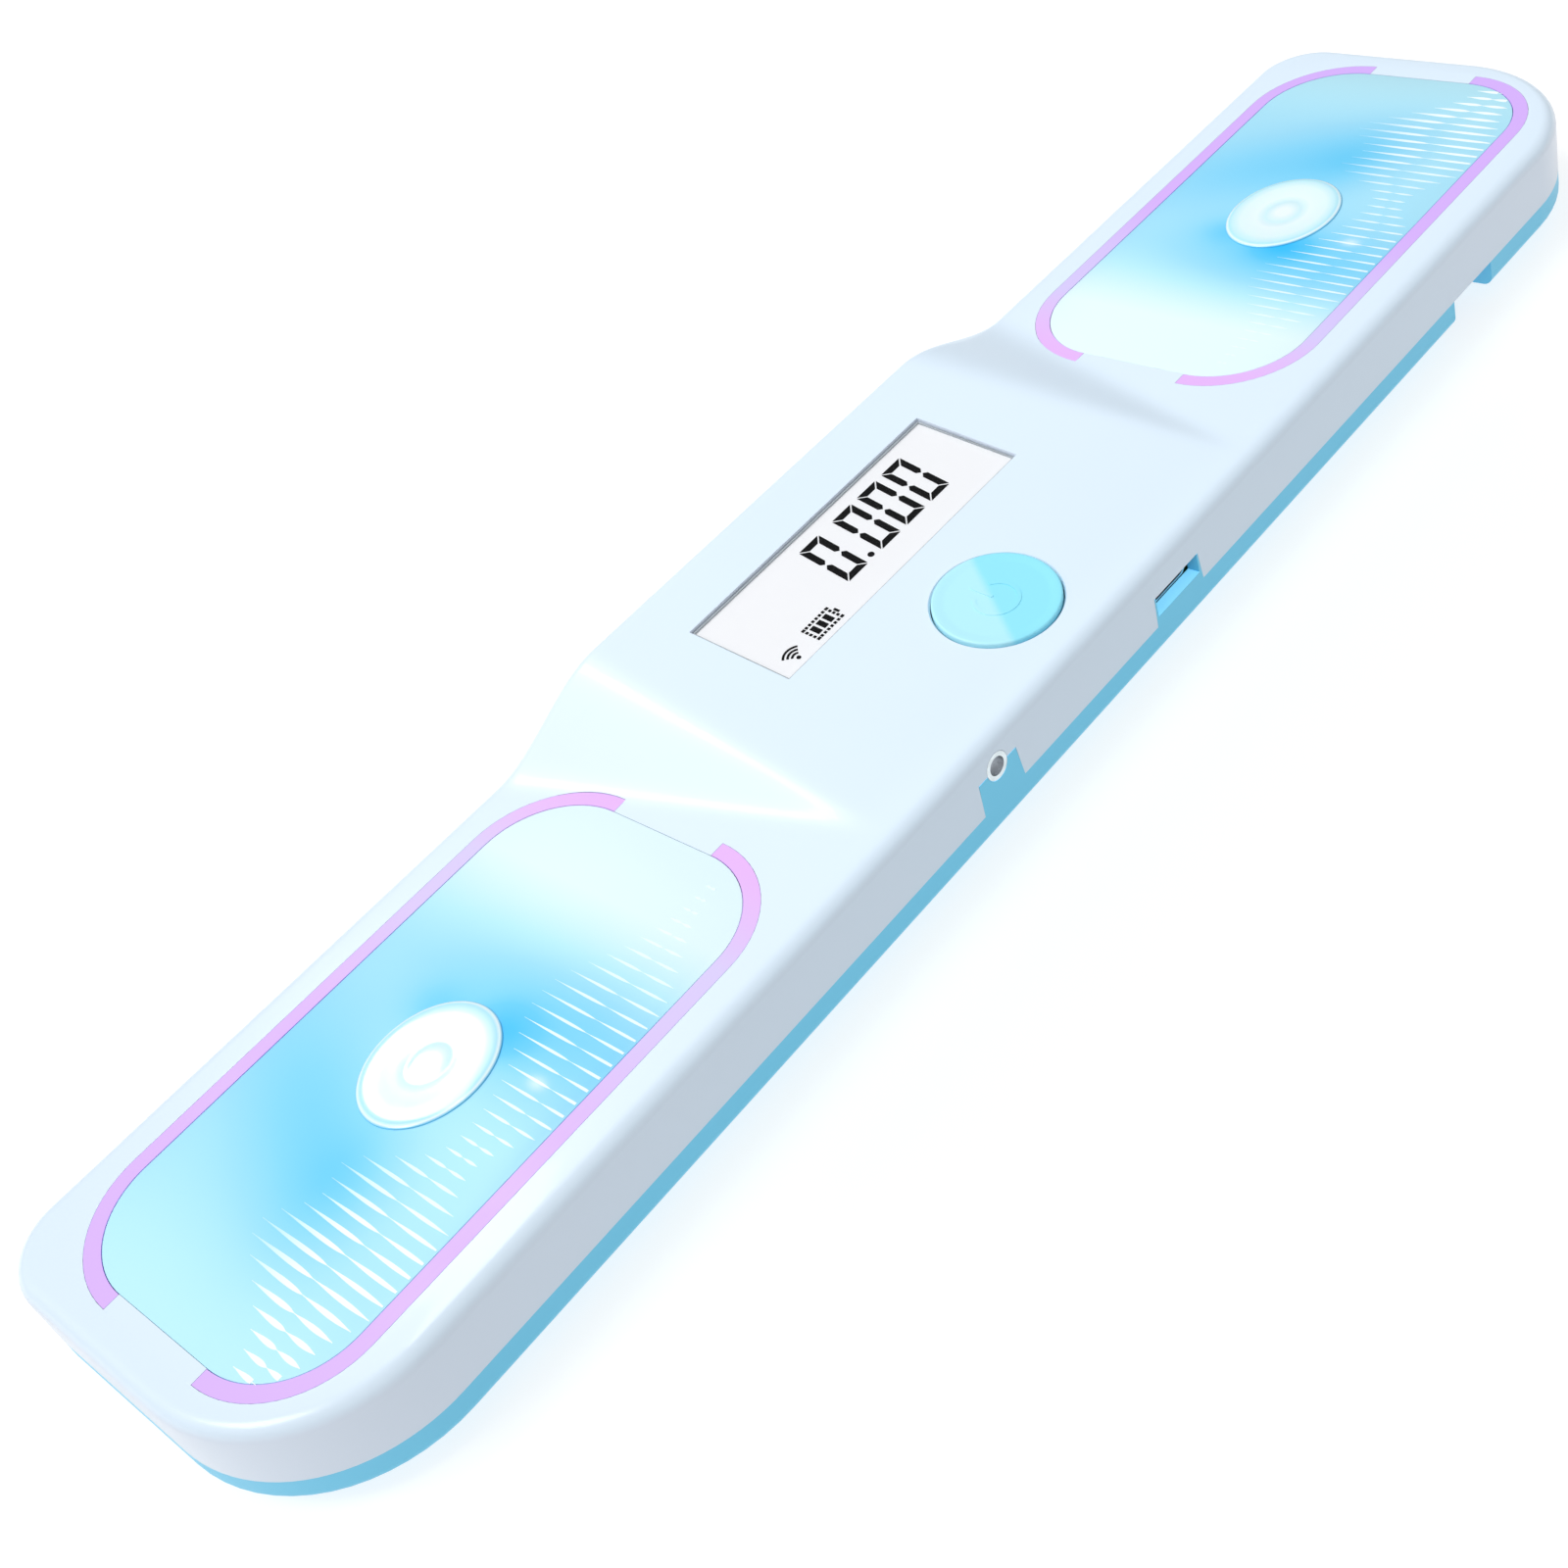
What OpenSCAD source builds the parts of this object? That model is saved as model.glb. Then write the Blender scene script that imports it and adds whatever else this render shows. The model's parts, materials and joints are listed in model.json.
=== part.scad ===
// Bar-shaped travel body scale: white upper shell, blue lower shell, two printed foot pads,
// a raised and tilted display deck in the middle, a push button, two side sockets and
// four sprung load-cell feet. X runs along the bar, +Y is the back (raised) edge,
// -Y is the front edge with the sockets, Z is up and z = 0 is the floor under the feet.

/* [Body] */
// Overall length of the bar
body_l = 273.4; // [268:0.2:280]
// Overall width of the bar
body_w = 55.6; // [54:0.2:60]
// Height of the flat foot-pad deck above the floor
deck_z = 16; // [15.5:0.1:18]
// Height of the underside of the lower shell above the floor
base_z = 2.6; // [2:0.1:2.8]
// Height of the joint line between the two shells
parting_z = 6.6; // [6.2:0.1:7]
// Corner radius in plan at the front edge
front_corner_r = 22; // [18:0.5:23]
// Corner radius in plan at the back edge
back_corner_r = 9; // [8:0.5:12]
// Rounding of the top edge
edge_r = 2; // [1.5:0.1:2.5]
// Rounding of the bottom edge
foot_edge_r = 1.4; // [1:0.1:1.6]
// Wall thickness of both shells
wall = 1.8; // [1.6:0.1:2]

/* [Display deck] */
// Rise of the tilted deck at the back edge
deck_rise = 6.4; // [5:0.1:7]
// Y of the line where the tilted deck starts
hinge_y = -23.8; // [-24.5:0.1:-22]
// Half length of the tilted deck at its top
plateau_half = 36; // [34:0.5:38]
// Half length of the tilted deck at its foot, at the back edge
ramp_foot_half = 51; // [48:0.5:55]
// Length of the display window
window_l = 48.4; // [44:0.1:50]
// Height of the display window, along the slope
window_w = 17; // [15:0.1:17.2]
// Distance up the slope from the hinge line to the lower edge of the window
window_v = 24.4; // [24:0.1:26]
// X of the centre of the window
window_x = -0.2; // [-1:0.1:1]

/* [Button] */
// Radius of the push button
button_r = 8.4; // [7.5:0.1:8.8]
// Distance up the slope from the hinge line to the centre of the button
button_v = 9.9; // [9.2:0.1:10.5]
// X of the centre of the button
button_x = -0.1; // [-1:0.1:1]
// Height of the button face above the deck
button_proud = 0.4; // [0.4:0.1:0.8]
// Radial gap around the button
button_gap = 0.1; // [0.1:0.05:0.3]

/* [Foot pads] */
// X of the centre of each pad
pad_x = 90.3; // [89:0.1:91]
// Length of the pad panel
pad_l = 79.6; // [78:0.2:80]
// Width of the pad panel
pad_w = 41; // [40:0.2:42]
// Corner radius of the pad panel
pad_r = 12; // [10:0.5:14]
// Width of the coloured trim band around the panel
band_w = 2.2; // [1.8:0.1:2.4]
// Half width of the gap between the two trim bands
band_gap = 8.5; // [7:0.5:9]
// Thickness of the panel and of the trim bands
pad_t = 1; // [0.8:0.1:1.2]
// Half width across the bar of the oval disc in the middle of the pad
disc_r = 8.2; // [8:0.1:9]
// Length of the disc along the bar, as a multiple of its width
disc_oval = 1.14; // [1:0.01:1.2]
// Height of the disc above the panel
disc_h = 0.4; // [0.3:0.1:1]

/* [Sockets] */
// X of the charging socket
usb_x = 18.1; // [17:0.1:19]
// X of the round socket
jack_x = -20.4; // [-21:0.1:-19]
// Height of the round socket below the deck
jack_drop = 4.4; // [4.2:0.1:4.6]
// Outer radius of the metal barrel of the round socket
barrel_r = 1.93; // [1.8:0.01:2]
// Bore radius of the round socket
barrel_bore_r = 1.3; // [1.25:0.01:1.35]

/* [Feet] */
// X of the feet
foot_x = 111; // [110:0.5:112]
// Y of the feet
foot_y = 13; // [12:0.5:13]
// Radius of the rubber pad of a foot
foot_r = 8; // [7:0.5:8]
// Travel of a foot against its load cell
foot_travel = 0.4; // [0.3:0.05:0.4]

/* [Hidden] */
$fn = 64;

half_l = body_l / 2;
half_w = body_w / 2;
front_y = -half_w;
floor_z = base_z + wall;
ceiling_z = deck_z - wall;
hump_run = half_w - hinge_y;
hump_tilt = atan(deck_rise / hump_run);
fit_gap = 0.1;
eps = 0.01;

// Shell bosses and the screws in them
screw_xy = [[127, 2], [-127, 2], [68, 20], [-68, 20], [68, -20], [-68, -20]];
boss_r = 3;
pilot_r = 1;
screw_r = 0.9;
screw_head_r = 1.9;
screw_head_h = 1.3;
screw_l = 7;
boss_z = 7.2;

// Board: the sockets stand on its top face
board_t = 1;
usb_w = 8.94;
usb_h = 3.26;
usb_len = 7.3;
usb_recess = 1.9;
usb_pocket_w = 10.2;
usb_z = deck_z - 8;
board_top_z = usb_z;
board_l = 68;
board_back_y = 21;
board_front_y = front_y + wall + 0.6;
tongue_w_jack = 8.2;
tongue_w_usb = 10.6;
tongue_flare = 0.4;
tongue_top_jack = deck_z - jack_drop - 0.2;
tongue_top_usb = deck_z - 5.1;
tongue_gap = 0.12;
jack_z = deck_z - jack_drop;
jack_len = 8;
jack_barrel_l = 3.75;
jack_wide = 5.6;

// Display stack, measured down from the face of the tilted deck
lip_t = 0.6;
window_top = -0.12;
window_t = 0.3;
glass_top = -0.65;
glass_t = 1.6;
segment_t = 0.06;
gasket_w = 0.35;
frame_t = 2.2;
stack_border = 1.6;
stack_l = window_l + 2 * stack_border;
stack_w = window_w + 2 * stack_border;
stack_x = window_x - stack_l / 2;
stack_v = window_v - stack_border;

// Digits of the display
digit_h = 10.1;
digit_w = 3.25;
digit_pitch = 5.38;
digit_lean = 6;
digits_x = -5.75;
digits_v = window_v + 4.7;
point_space = 1.65;
point_x = 5.05;
point_v = 0.7;
point_r = 0.48;
segment_w = 0.85;
segment_break = 0.22;
icon_x = -16.7;
icon_v = window_v + 1.55;
icon_l = 5.1;
icon_h = 3;
icon_line = 0.35;

// Finger notch in the front edge of the lower shell
notch_x = 88.8;
notch_w = 10.6;
notch_depth = 8;
notch_r = 3;
notch_wall_t = 1.2;
notch_roof_t = 0.9;

// Load cells and feet
cell_l = 24;
cell_w = 20;
cell_t = 1.6;
cell_z = 7.6;
cup_r = foot_r + 0.6;
cup_gap = 0.35;
cup_flange_r = cup_r + 1.2;
cup_flange_t = 0.8;
cup_top_z = cell_z - foot_travel - 0.35;
foot_pad_t = 1.6;
foot_xy = [[-foot_x, foot_y], [-foot_x, -foot_y], [foot_x, foot_y], [foot_x, -foot_y]];

battery_l = 40;
battery_w = 30;
battery_t = 6;
battery_x = -63;
tape_t = 0.5;
beam_l = 64;
beam_w = 32;
beam_t = 1;
clamp_t = 1.4;
wire_r = 0.9;
wire_y = half_w - wall - 1.5;

disc_white = [0.96, 0.99, 1];
shell_white = [0.89, 0.96, 1];
shell_blue = [0.42, 0.74, 0.87];
pad_blue = [0.6, 0.87, 0.97];
trim_purple = [0.88, 0.77, 0.99];

// Plan of the bar, shrunk by inset: squares between four corner circles
module plan(inset = 0) {
    rf = front_corner_r - inset;
    rb = back_corner_r - inset;
    hx = half_l - inset;
    hy = half_w - inset;
    translate([-(hx - rf), -hy]) square([2 * (hx - rf), 2 * hy]);
    translate([-hx, -hy + rf]) square([2 * hx, 2 * hy - rf - rb]);
    translate([-(hx - rb), hy - rb - eps]) square([2 * (hx - rb), rb + eps]);
    for (s = [-1, 1]) {
        translate([s * (hx - rf), -hy + rf]) circle(rf);
        translate([s * (hx - rb), hy - rb]) circle(rb);
    }
}

// Quarter round that fills the top edge of the bar between its full and its inset plan
module quarter(r) {
    intersection() {
        circle(r);
        square(r);
    }
}

// Ring of quarter rounds around the plan, with its flat side down at z = 0
module edge_ring(r) {
    for (s = [-1, 1]) {
        // Corners
        translate([s * (half_l - front_corner_r), front_y + front_corner_r, 0])
            rotate([0, 0, s > 0 ? -90 : 180])
                rotate_extrude(angle = 90) translate([front_corner_r - r, 0]) quarter(r);
        translate([s * (half_l - back_corner_r), half_w - back_corner_r, 0])
            rotate([0, 0, s > 0 ? 0 : 90])
                rotate_extrude(angle = 90) translate([back_corner_r - r, 0]) quarter(r);
        // Short ends
        translate([s * (half_l - r), half_w - back_corner_r, 0])
            rotate([90, 0, 0])
                linear_extrude(body_w - front_corner_r - back_corner_r)
                    mirror([s > 0 ? 0 : 1, 0, 0]) quarter(r);
    }
    // Long edges
    translate([-(half_l - front_corner_r), front_y + r, 0]) rotate([90, 0, 90])
        linear_extrude(body_l - 2 * front_corner_r) mirror([1, 0, 0]) quarter(r);
    translate([-(half_l - back_corner_r), half_w - r, 0]) rotate([90, 0, 90])
        linear_extrude(body_l - 2 * back_corner_r) quarter(r);
}

// Solid of the bar from the joint line to the deck
module upper_form() {
    translate([0, 0, parting_z]) linear_extrude(deck_z - edge_r - parting_z) plan();
    translate([0, 0, parting_z]) linear_extrude(deck_z - parting_z) plan(edge_r);
    translate([0, 0, deck_z - edge_r]) edge_ring(edge_r);
}

// Solid of the bar from the underside to the joint line
module lower_form() {
    translate([0, 0, base_z + foot_edge_r]) linear_extrude(parting_z - base_z - foot_edge_r) plan();
    translate([0, 0, base_z]) linear_extrude(parting_z - base_z) plan(foot_edge_r);
    translate([0, 0, base_z + foot_edge_r]) mirror([0, 0, 1]) edge_ring(foot_edge_r);
}

// Wedge of the raised deck: drop lowers it and inset shrinks it, for the hollow inside
module hump(drop = 0, inset = 0) {
    y0 = hinge_y + inset;
    y1 = half_w - inset;
    root = 3;
    top = deck_rise * (y1 - hinge_y) / hump_run;
    foot = ramp_foot_half - inset;
    flat = plateau_half - inset / 2;
    apex = flat + 1;
    translate([0, 0, deck_z - drop])
        polyhedron(
            points = [
                [-apex, y0, 0], [apex, y0, 0], [foot, y1, 0], [-foot, y1, 0],
                [-flat, y1, top], [flat, y1, top],
                [-apex, y0, -root], [apex, y0, -root], [foot, y1, -root], [-foot, y1, -root],
            ],
            faces = [
                [0, 4, 5], [0, 5, 1], [1, 5, 2], [0, 3, 4], [3, 2, 5, 4],
                [6, 7, 8, 9], [0, 1, 7, 6], [1, 2, 8, 7], [2, 3, 9, 8], [3, 0, 6, 9],
            ]);
}

// Puts a child in the tilted frame of the raised deck: x, distance up the slope, height
module on_deck() {
    translate([0, hinge_y, deck_z]) rotate([hump_tilt, 0, 0]) children();
}

// Rounded rectangle about the origin, built from squares and circles
module rounded(l, w, r) {
    square([l, w - 2 * r], center = true);
    square([l - 2 * r, w], center = true);
    for (x = [-1, 1], y = [-1, 1]) translate([x * (l / 2 - r), y * (w / 2 - r)]) circle(r);
}

// Half of the trim band outline: side is 1 at the back and -1 at the front
module band(side, gap = 0) {
    difference() {
        rounded(pad_l + 2 * band_w - 2 * gap, pad_w + 2 * band_w - 2 * gap, pad_r + band_w - gap);
        rounded(pad_l + 2 * gap, pad_w + 2 * gap, pad_r + gap);
        translate([-pad_l, side > 0 ? -pad_w : -band_gap - gap])
            square([2 * pad_l, pad_w + band_gap + gap]);
    }
}

// Trapezoid tongue of the lower shell that fills a cut in the front wall of the upper shell
module tongue(x, w, top_z, grow = 0) {
    translate([x, front_y + wall, 0]) rotate([90, 0, 0]) linear_extrude(wall)
        polygon([
            [-w / 2 - grow, parting_z - eps], [w / 2 + grow, parting_z - eps],
            [w / 2 - tongue_flare + grow, top_z + grow], [-w / 2 + tongue_flare - grow, top_z + grow],
        ]);
}

module foot_holes(r) {
    for (p = foot_xy) translate([p[0], p[1], base_z - 1]) cylinder(r = r, h = wall + 2);
}

// White upper shell: pad recesses, display and button openings, socket cuts, screw bosses
module top_shell() color(shell_white) difference() {
    union() {
        difference() {
            union() {
                upper_form();
                hump();
            }
            translate([0, 0, parting_z - 1]) linear_extrude(ceiling_z - parting_z + 1) plan(wall);
            hump(wall, wall);
        }
        for (p = screw_xy) translate([p[0], p[1], boss_z])
            cylinder(r = boss_r, h = ceiling_z - boss_z + eps);
        on_deck() translate([button_x, button_v, -wall - 1.4])
            cylinder(r = button_r + 1.6, h = 1.4 + wall / 2);
    }
    for (p = screw_xy) translate([p[0], p[1], boss_z - 1]) cylinder(r = pilot_r, h = screw_l);
    for (s = [-1, 1]) translate([s * pad_x, 0, deck_z - pad_t]) linear_extrude(pad_t + 1) {
        rounded(pad_l, pad_w, pad_r);
        band(1);
        band(-1);
    }
    on_deck() {
        translate([window_x - window_l / 2, window_v, -4]) cube([window_l, window_w, 6]);
        translate([window_x, window_v + window_w / 2, -5])
            linear_extrude(5 - lip_t) square([stack_l + 2 * fit_gap, stack_w + 2 * fit_gap], center = true);
        translate([button_x, button_v, -5]) cylinder(r = button_r + button_gap, h = 8);
    }
    tongue_cut(jack_x, tongue_w_jack, tongue_top_jack);
    tongue_cut(usb_x, tongue_w_usb, tongue_top_usb);
    barrel_hole();
}

// Hole through both front walls for the barrel of the round socket
module barrel_hole() {
    translate([jack_x, front_y + wall + 1, jack_z]) rotate([90, 0, 0])
        cylinder(r = barrel_r + 0.05, h = wall + 2);
}

// Opening in the front wall for a tongue, a little larger than it
module tongue_cut(x, w, top_z) {
    translate([0, -0.5, 0]) tongue(x, w, top_z, tongue_gap);
    translate([0, 0.5, 0]) tongue(x, w, top_z, tongue_gap);
}

// Blue lower shell: tray with tongues, foot holes, screw holes, cell posts and the finger notch
module bottom_shell() color(shell_blue) difference() {
    union() {
        difference() {
            lower_form();
            translate([0, 0, floor_z]) linear_extrude(parting_z) plan(wall);
        }
        tongue(jack_x, tongue_w_jack, tongue_top_jack);
        tongue(usb_x, tongue_w_usb, tongue_top_usb);
        for (p = foot_xy, x = [-1, 1], y = [-1, 1])
            translate([p[0] + x * (cell_l / 2 - 1.5), p[1] + y * (cell_w / 2 - 1.2), floor_z - eps])
                cylinder(r = 1.1, h = cell_z - floor_z + eps);
        for (x = [-1, 1], y = [-15, 12])
            translate([x * (board_l / 2 - 3), y, floor_z - eps])
                cylinder(r = 2, h = board_top_z - board_t - floor_z + eps);
        for (p = screw_xy) translate([p[0], p[1], floor_z - eps])
            cylinder(r = boss_r, h = boss_z - floor_z);
        notch_wall();
    }
    foot_holes(cup_r + cup_gap);
    for (p = screw_xy) {
        translate([p[0], p[1], base_z - 1]) cylinder(r = screw_r + 0.3, h = 8);
        translate([p[0], p[1], base_z - 1]) cylinder(r = screw_head_r + 0.3, h = screw_head_h + 1.4);
    }
    notch_space();
    translate([usb_x - usb_pocket_w / 2 + tongue_flare, front_y - 1, usb_z])
        cube([usb_pocket_w - 2 * tongue_flare, wall + 2, 4]);
    barrel_hole();
}

// Plan of the finger notch from y0 inwards, with round inner corners
module notch_outline(y0, grow = 0) {
    back = front_y + notch_depth;
    intersection() {
        union() {
            translate([notch_x - grow, y0]) square([notch_w + 2 * grow, back - notch_r - y0]);
            translate([notch_x + notch_r, y0]) square([notch_w - 2 * notch_r, back + grow - y0]);
            for (x = [notch_r, notch_w - notch_r])
                translate([notch_x + x, back - notch_r]) circle(notch_r + grow);
        }
        translate([notch_x - notch_w, y0]) square([3 * notch_w, 2 * notch_depth]);
    }
}

// Space of the finger notch, open at the front and below
module notch_space() {
    translate([0, 0, base_z - 1]) linear_extrude(parting_z - base_z + 1) notch_outline(front_y - 1);
}

// Wall and roof that close the tray around the notch
module notch_wall() {
    translate([0, 0, floor_z - eps])
        linear_extrude(parting_z - floor_z + eps) notch_outline(front_y + wall / 2, notch_wall_t);
    translate([0, 0, parting_z - eps])
        linear_extrude(notch_roof_t) notch_outline(front_y + wall + 0.05, notch_wall_t);
}

// Printed pad panel, flush with the deck, with a hole for the stem of its disc
module pad(s) color(pad_blue) translate([s * pad_x, 0, deck_z - pad_t]) difference() {
    linear_extrude(pad_t) rounded(pad_l - 2 * fit_gap, pad_w - 2 * fit_gap, pad_r - fit_gap);
    translate([0, 0, -1]) cylinder(r = disc_r - 2, h = pad_t + 2);
}

// Oval disc: flat face, chamfered rim and a round stem that sits in the hole of the panel
module disc(s) color(disc_white) translate([s * pad_x, 0, deck_z]) {
    scale([disc_oval, 1, 1]) rotate_extrude()
        polygon([[0, 0], [disc_r, 0], [disc_r, disc_h * 0.3], [disc_r - 0.8, disc_h], [0, disc_h]]);
    translate([0, 0, -pad_t + fit_gap]) cylinder(r = disc_r - 2 - fit_gap, h = pad_t - fit_gap);
}

// One C-shaped coloured trim band
module trim(s, side) color(trim_purple) translate([s * pad_x, 0, deck_z - pad_t])
    linear_extrude(pad_t) band(side, fit_gap / 2);

// Clear window over the display
module display_window() color([0.9, 0.95, 1, 0.4]) on_deck()
    translate([window_x - window_l / 2 + fit_gap, window_v + fit_gap, window_top - window_t])
        cube([window_l - 2 * fit_gap, window_w - 2 * fit_gap, window_t]);

// Foam ring between the window and the display glass
module window_gasket() color("dimgray") on_deck()
    translate([window_x - window_l / 2, window_v, glass_top]) difference() {
        translate([fit_gap, fit_gap, 0])
            cube([window_l - 2 * fit_gap, window_w - 2 * fit_gap, window_top - window_t - glass_top]);
        translate([gasket_w, gasket_w, -1]) cube([window_l - 2 * gasket_w, window_w - 2 * gasket_w, 3]);
    }

// Display glass
module display_glass() color([0.97, 0.99, 0.99]) on_deck()
    translate([stack_x, stack_v, glass_top - glass_t]) cube([stack_l, stack_w, glass_t]);

// One bar of a digit, with pointed ends
module bar(l) {
    polygon([
        [0, 0], [segment_w / 2, segment_w / 2], [l - segment_w / 2, segment_w / 2],
        [l, 0], [l - segment_w / 2, -segment_w / 2], [segment_w / 2, -segment_w / 2],
    ]);
}

// A zero: two bars across and four bars upright, leaning forward
module zero() {
    lean = tan(digit_lean);
    multmatrix([[1, lean, 0, 0], [0, 1, 0, 0], [0, 0, 1, 0], [0, 0, 0, 1]]) {
        for (y = [segment_w / 2, digit_h - segment_w / 2])
            translate([segment_break, y]) bar(digit_w - 2 * segment_break);
        for (x = [0, digit_w], y = [segment_w / 2, digit_h / 2])
            translate([x, y + segment_break]) rotate(90)
                bar(digit_h / 2 - segment_w / 2 - 2 * segment_break);
    }
}

// Figures of the display, printed on its glass
module display_segments() color([0.03, 0.03, 0.05]) on_deck()
    translate([0, 0, glass_top]) linear_extrude(segment_t) {
        translate([digits_x, digits_v]) {
            for (i = [0:3]) translate([i * digit_pitch + (i > 0 ? point_space : 0), 0]) zero();
            translate([point_x, point_v]) circle(point_r);
        }
        translate([icon_x, icon_v]) battery_icon();
    }

// Battery sign: an outline with a nub at its end and three bars inside
module battery_icon() {
    difference() {
        square([icon_l, icon_h]);
        translate([icon_line, icon_line]) square([icon_l - 2 * icon_line, icon_h - 2 * icon_line]);
    }
    translate([icon_l + 0.15, icon_h / 2 - 0.5]) square([0.4, 1]);
    for (i = [0:2]) translate([0.8 + i * 1.25, 0.75]) square([0.85, icon_h - 1.5]);
}

// Light box behind the display glass
module display_frame() color("gainsboro") on_deck()
    translate([stack_x, stack_v, glass_top - glass_t - frame_t]) cube([stack_l, stack_w, frame_t]);

// Push button: dished face with a raised rim, a skirt and a central stem
module power_button() color([0.66, 0.93, 1]) on_deck() translate([button_x, button_v, 0]) {
    rotate_extrude()
        polygon([
            [0, -1.6], [0, button_proud - 0.2], [button_r - 1.1, button_proud - 0.2],
            [button_r - 0.8, button_proud], [button_r - 0.3, button_proud], [button_r, button_proud - 0.3],
            [button_r, -2.6], [button_r - 1.2, -2.6], [button_r - 1.2, -1.6],
        ]);
    translate([0, 0, -4]) cylinder(r = 1.6, h = 2.4 + eps);
}

// Plunger of the switch under the button
module switch_plunger() color("black") on_deck()
    translate([button_x, button_v, -5.8]) cylinder(r = 1.5, h = 1.8);

// Switch body, with a well for its plunger
module tact_switch() color("dimgray") difference() {
    translate([button_x - 3, switch_y() - 3, board_top_z]) cube([6, 6, 3.2]);
    on_deck() translate([button_x, button_v, -7.6]) cylinder(r = 1.7, h = 4);
}

// Y of the switch, straight below the plunger's well
function switch_y() = hinge_y + button_v * cos(hump_tilt) + 6.5 * sin(hump_tilt);

// Printed board that carries the switch, both sockets and the chips
module main_board() color("darkgreen") difference() {
    translate([-board_l / 2, board_front_y, board_top_z - board_t])
        cube([board_l, board_back_y - board_front_y, board_t]);
    for (x = [-1, 1], y = [-15, 12])
        translate([x * (board_l / 2 - 3), y, 0]) cylinder(r = 1.1, h = deck_z);
}

module controller_chip() color("black")
    translate([-4, -4, board_top_z]) cube([7, 7, 1]);

module radio_module() color("silver")
    translate([18, -6, board_top_z]) cube([11, 9, 1.6]);

// Metal shell of the charging socket, with an oval mouth
module usb_receptacle() color("silver")
    translate([usb_x, front_y + usb_recess + usb_len, board_top_z + usb_h / 2]) rotate([90, 0, 0])
        difference() {
            linear_extrude(usb_len) rounded(usb_w, usb_h, usb_h / 2 - eps);
            translate([0, 0, 1]) linear_extrude(usb_len)
                rounded(usb_w - 0.6, usb_h - 0.6, usb_h / 2 - 0.3 - eps);
        }

// Contact tongue in the middle of the charging socket
module usb_tongue() color("black")
    translate([usb_x - 3.3, front_y + usb_recess + 1, board_top_z + usb_h / 2 - 0.35])
        cube([6.6, usb_len - 2, 0.7]);

// Metal barrel of the round socket: collar outside, true bore for the plug
module jack_barrel() color("silver")
    translate([jack_x, front_y, jack_z]) rotate([-90, 0, 0]) difference() {
        cylinder(r = barrel_r, h = jack_barrel_l);
        translate([0, 0, -1]) cylinder(r = barrel_bore_r, h = 6);
    }

// Plastic body of the round socket, on the board
module jack_body() color("black") difference() {
    translate([jack_x - jack_wide / 2, front_y + jack_barrel_l, board_top_z])
        cube([jack_wide, jack_len, jack_z - board_top_z + 2.3]);
    translate([jack_x, front_y + 3, jack_z]) rotate([-90, 0, 0])
        cylinder(r = barrel_bore_r, h = jack_len - 1);
}

// Flat rechargeable cell under the left pad
module battery() color("steelblue")
    translate([battery_x, 0, floor_z + tape_t]) linear_extrude(battery_t) rounded(battery_l, battery_w, 2);

module battery_tape() color("white")
    translate([battery_x - battery_l / 2 + 4, -battery_w / 2 + 4, floor_z])
        cube([battery_l - 8, battery_w - 8, tape_t]);

module battery_socket() color("ivory")
    translate([-board_l / 2 + 1, -4, board_top_z]) difference() {
        cube([5, 6, 4]);
        translate([-1, 1, 1]) cube([5, 4, 2]);
    }

module battery_plug() color("white")
    translate([-board_l / 2 - 2, -2.9, board_top_z + 1.1]) cube([6.8, 3.8, 1.8]);

// Bundles of wires from the load cells to the board, one along each side
module cell_wires() color("firebrick") for (s = [-1, 1]) {
    translate([s * (foot_x - cell_l / 2 - 1), wire_y, floor_z + 1]) rotate([0, -90 * s, 0])
        cylinder(r = wire_r, h = foot_x - cell_l / 2 - 1 - board_l / 2);
}

// Steel plate that stiffens the deck under a pad
module beam(s) color("silver") translate([s * (pad_x - 1), 0, ceiling_z - beam_t])
    linear_extrude(beam_t) difference() {
        square([beam_l, beam_w], center = true);
        circle(4);
    }

// Half-bridge load cell: a steel plate cut into a frame and a centre tongue
module load_cell(i) color("gray") translate([foot_xy[i][0], foot_xy[i][1], cell_z]) difference() {
    translate([-cell_l / 2, -cell_w / 2, 0]) cube([cell_l, cell_w, cell_t]);
    for (y = [-1, 1]) translate([-cell_l / 2 + 4, y * 6 - 0.75, -1]) cube([cell_l - 8, 1.5, cell_t + 2]);
    translate([cell_l / 2 - 5.5, -6, -1]) cube([1.5, 12, cell_t + 2]);
}

// Bars that hold both load cells of one side down on their posts
module cell_clamp(s) color("white") for (x = [-1, 1])
    translate([s * foot_x + x * (cell_l / 2 - 1.5) - 1.5, -foot_y - cell_w / 2, cell_z + cell_t])
        cube([3, 2 * foot_y + cell_w, clamp_t]);

module shell_screws() color("silver") for (p = screw_xy) translate([p[0], p[1], base_z + 0.3]) {
    cylinder(r = screw_head_r, h = screw_head_h - 0.2);
    cylinder(r = screw_r, h = screw_l);
}

// Cup of a foot: skirt through the hole, retaining flange inside, button under the cell
module foot_cup(i) color("white") translate([foot_xy[i][0], foot_xy[i][1], 0]) {
    translate([0, 0, foot_pad_t]) cylinder(r = cup_r, h = floor_z + 0.3 - foot_pad_t + eps);
    translate([0, 0, floor_z + 0.3]) cylinder(r = cup_flange_r, h = cup_flange_t);
    translate([0, 0, floor_z + 0.3]) cylinder(r = 3, h = cup_top_z - floor_z - 0.3);
}

// Rubber pad of a foot, with a rounded lower edge
module foot_pad(i) color("dimgray") translate([foot_xy[i][0], foot_xy[i][1], 0]) rotate_extrude()
    polygon([[0, 0], [foot_r - 0.5, 0], [foot_r, 0.5], [foot_r, foot_pad_t], [0, foot_pad_t]]);

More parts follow.
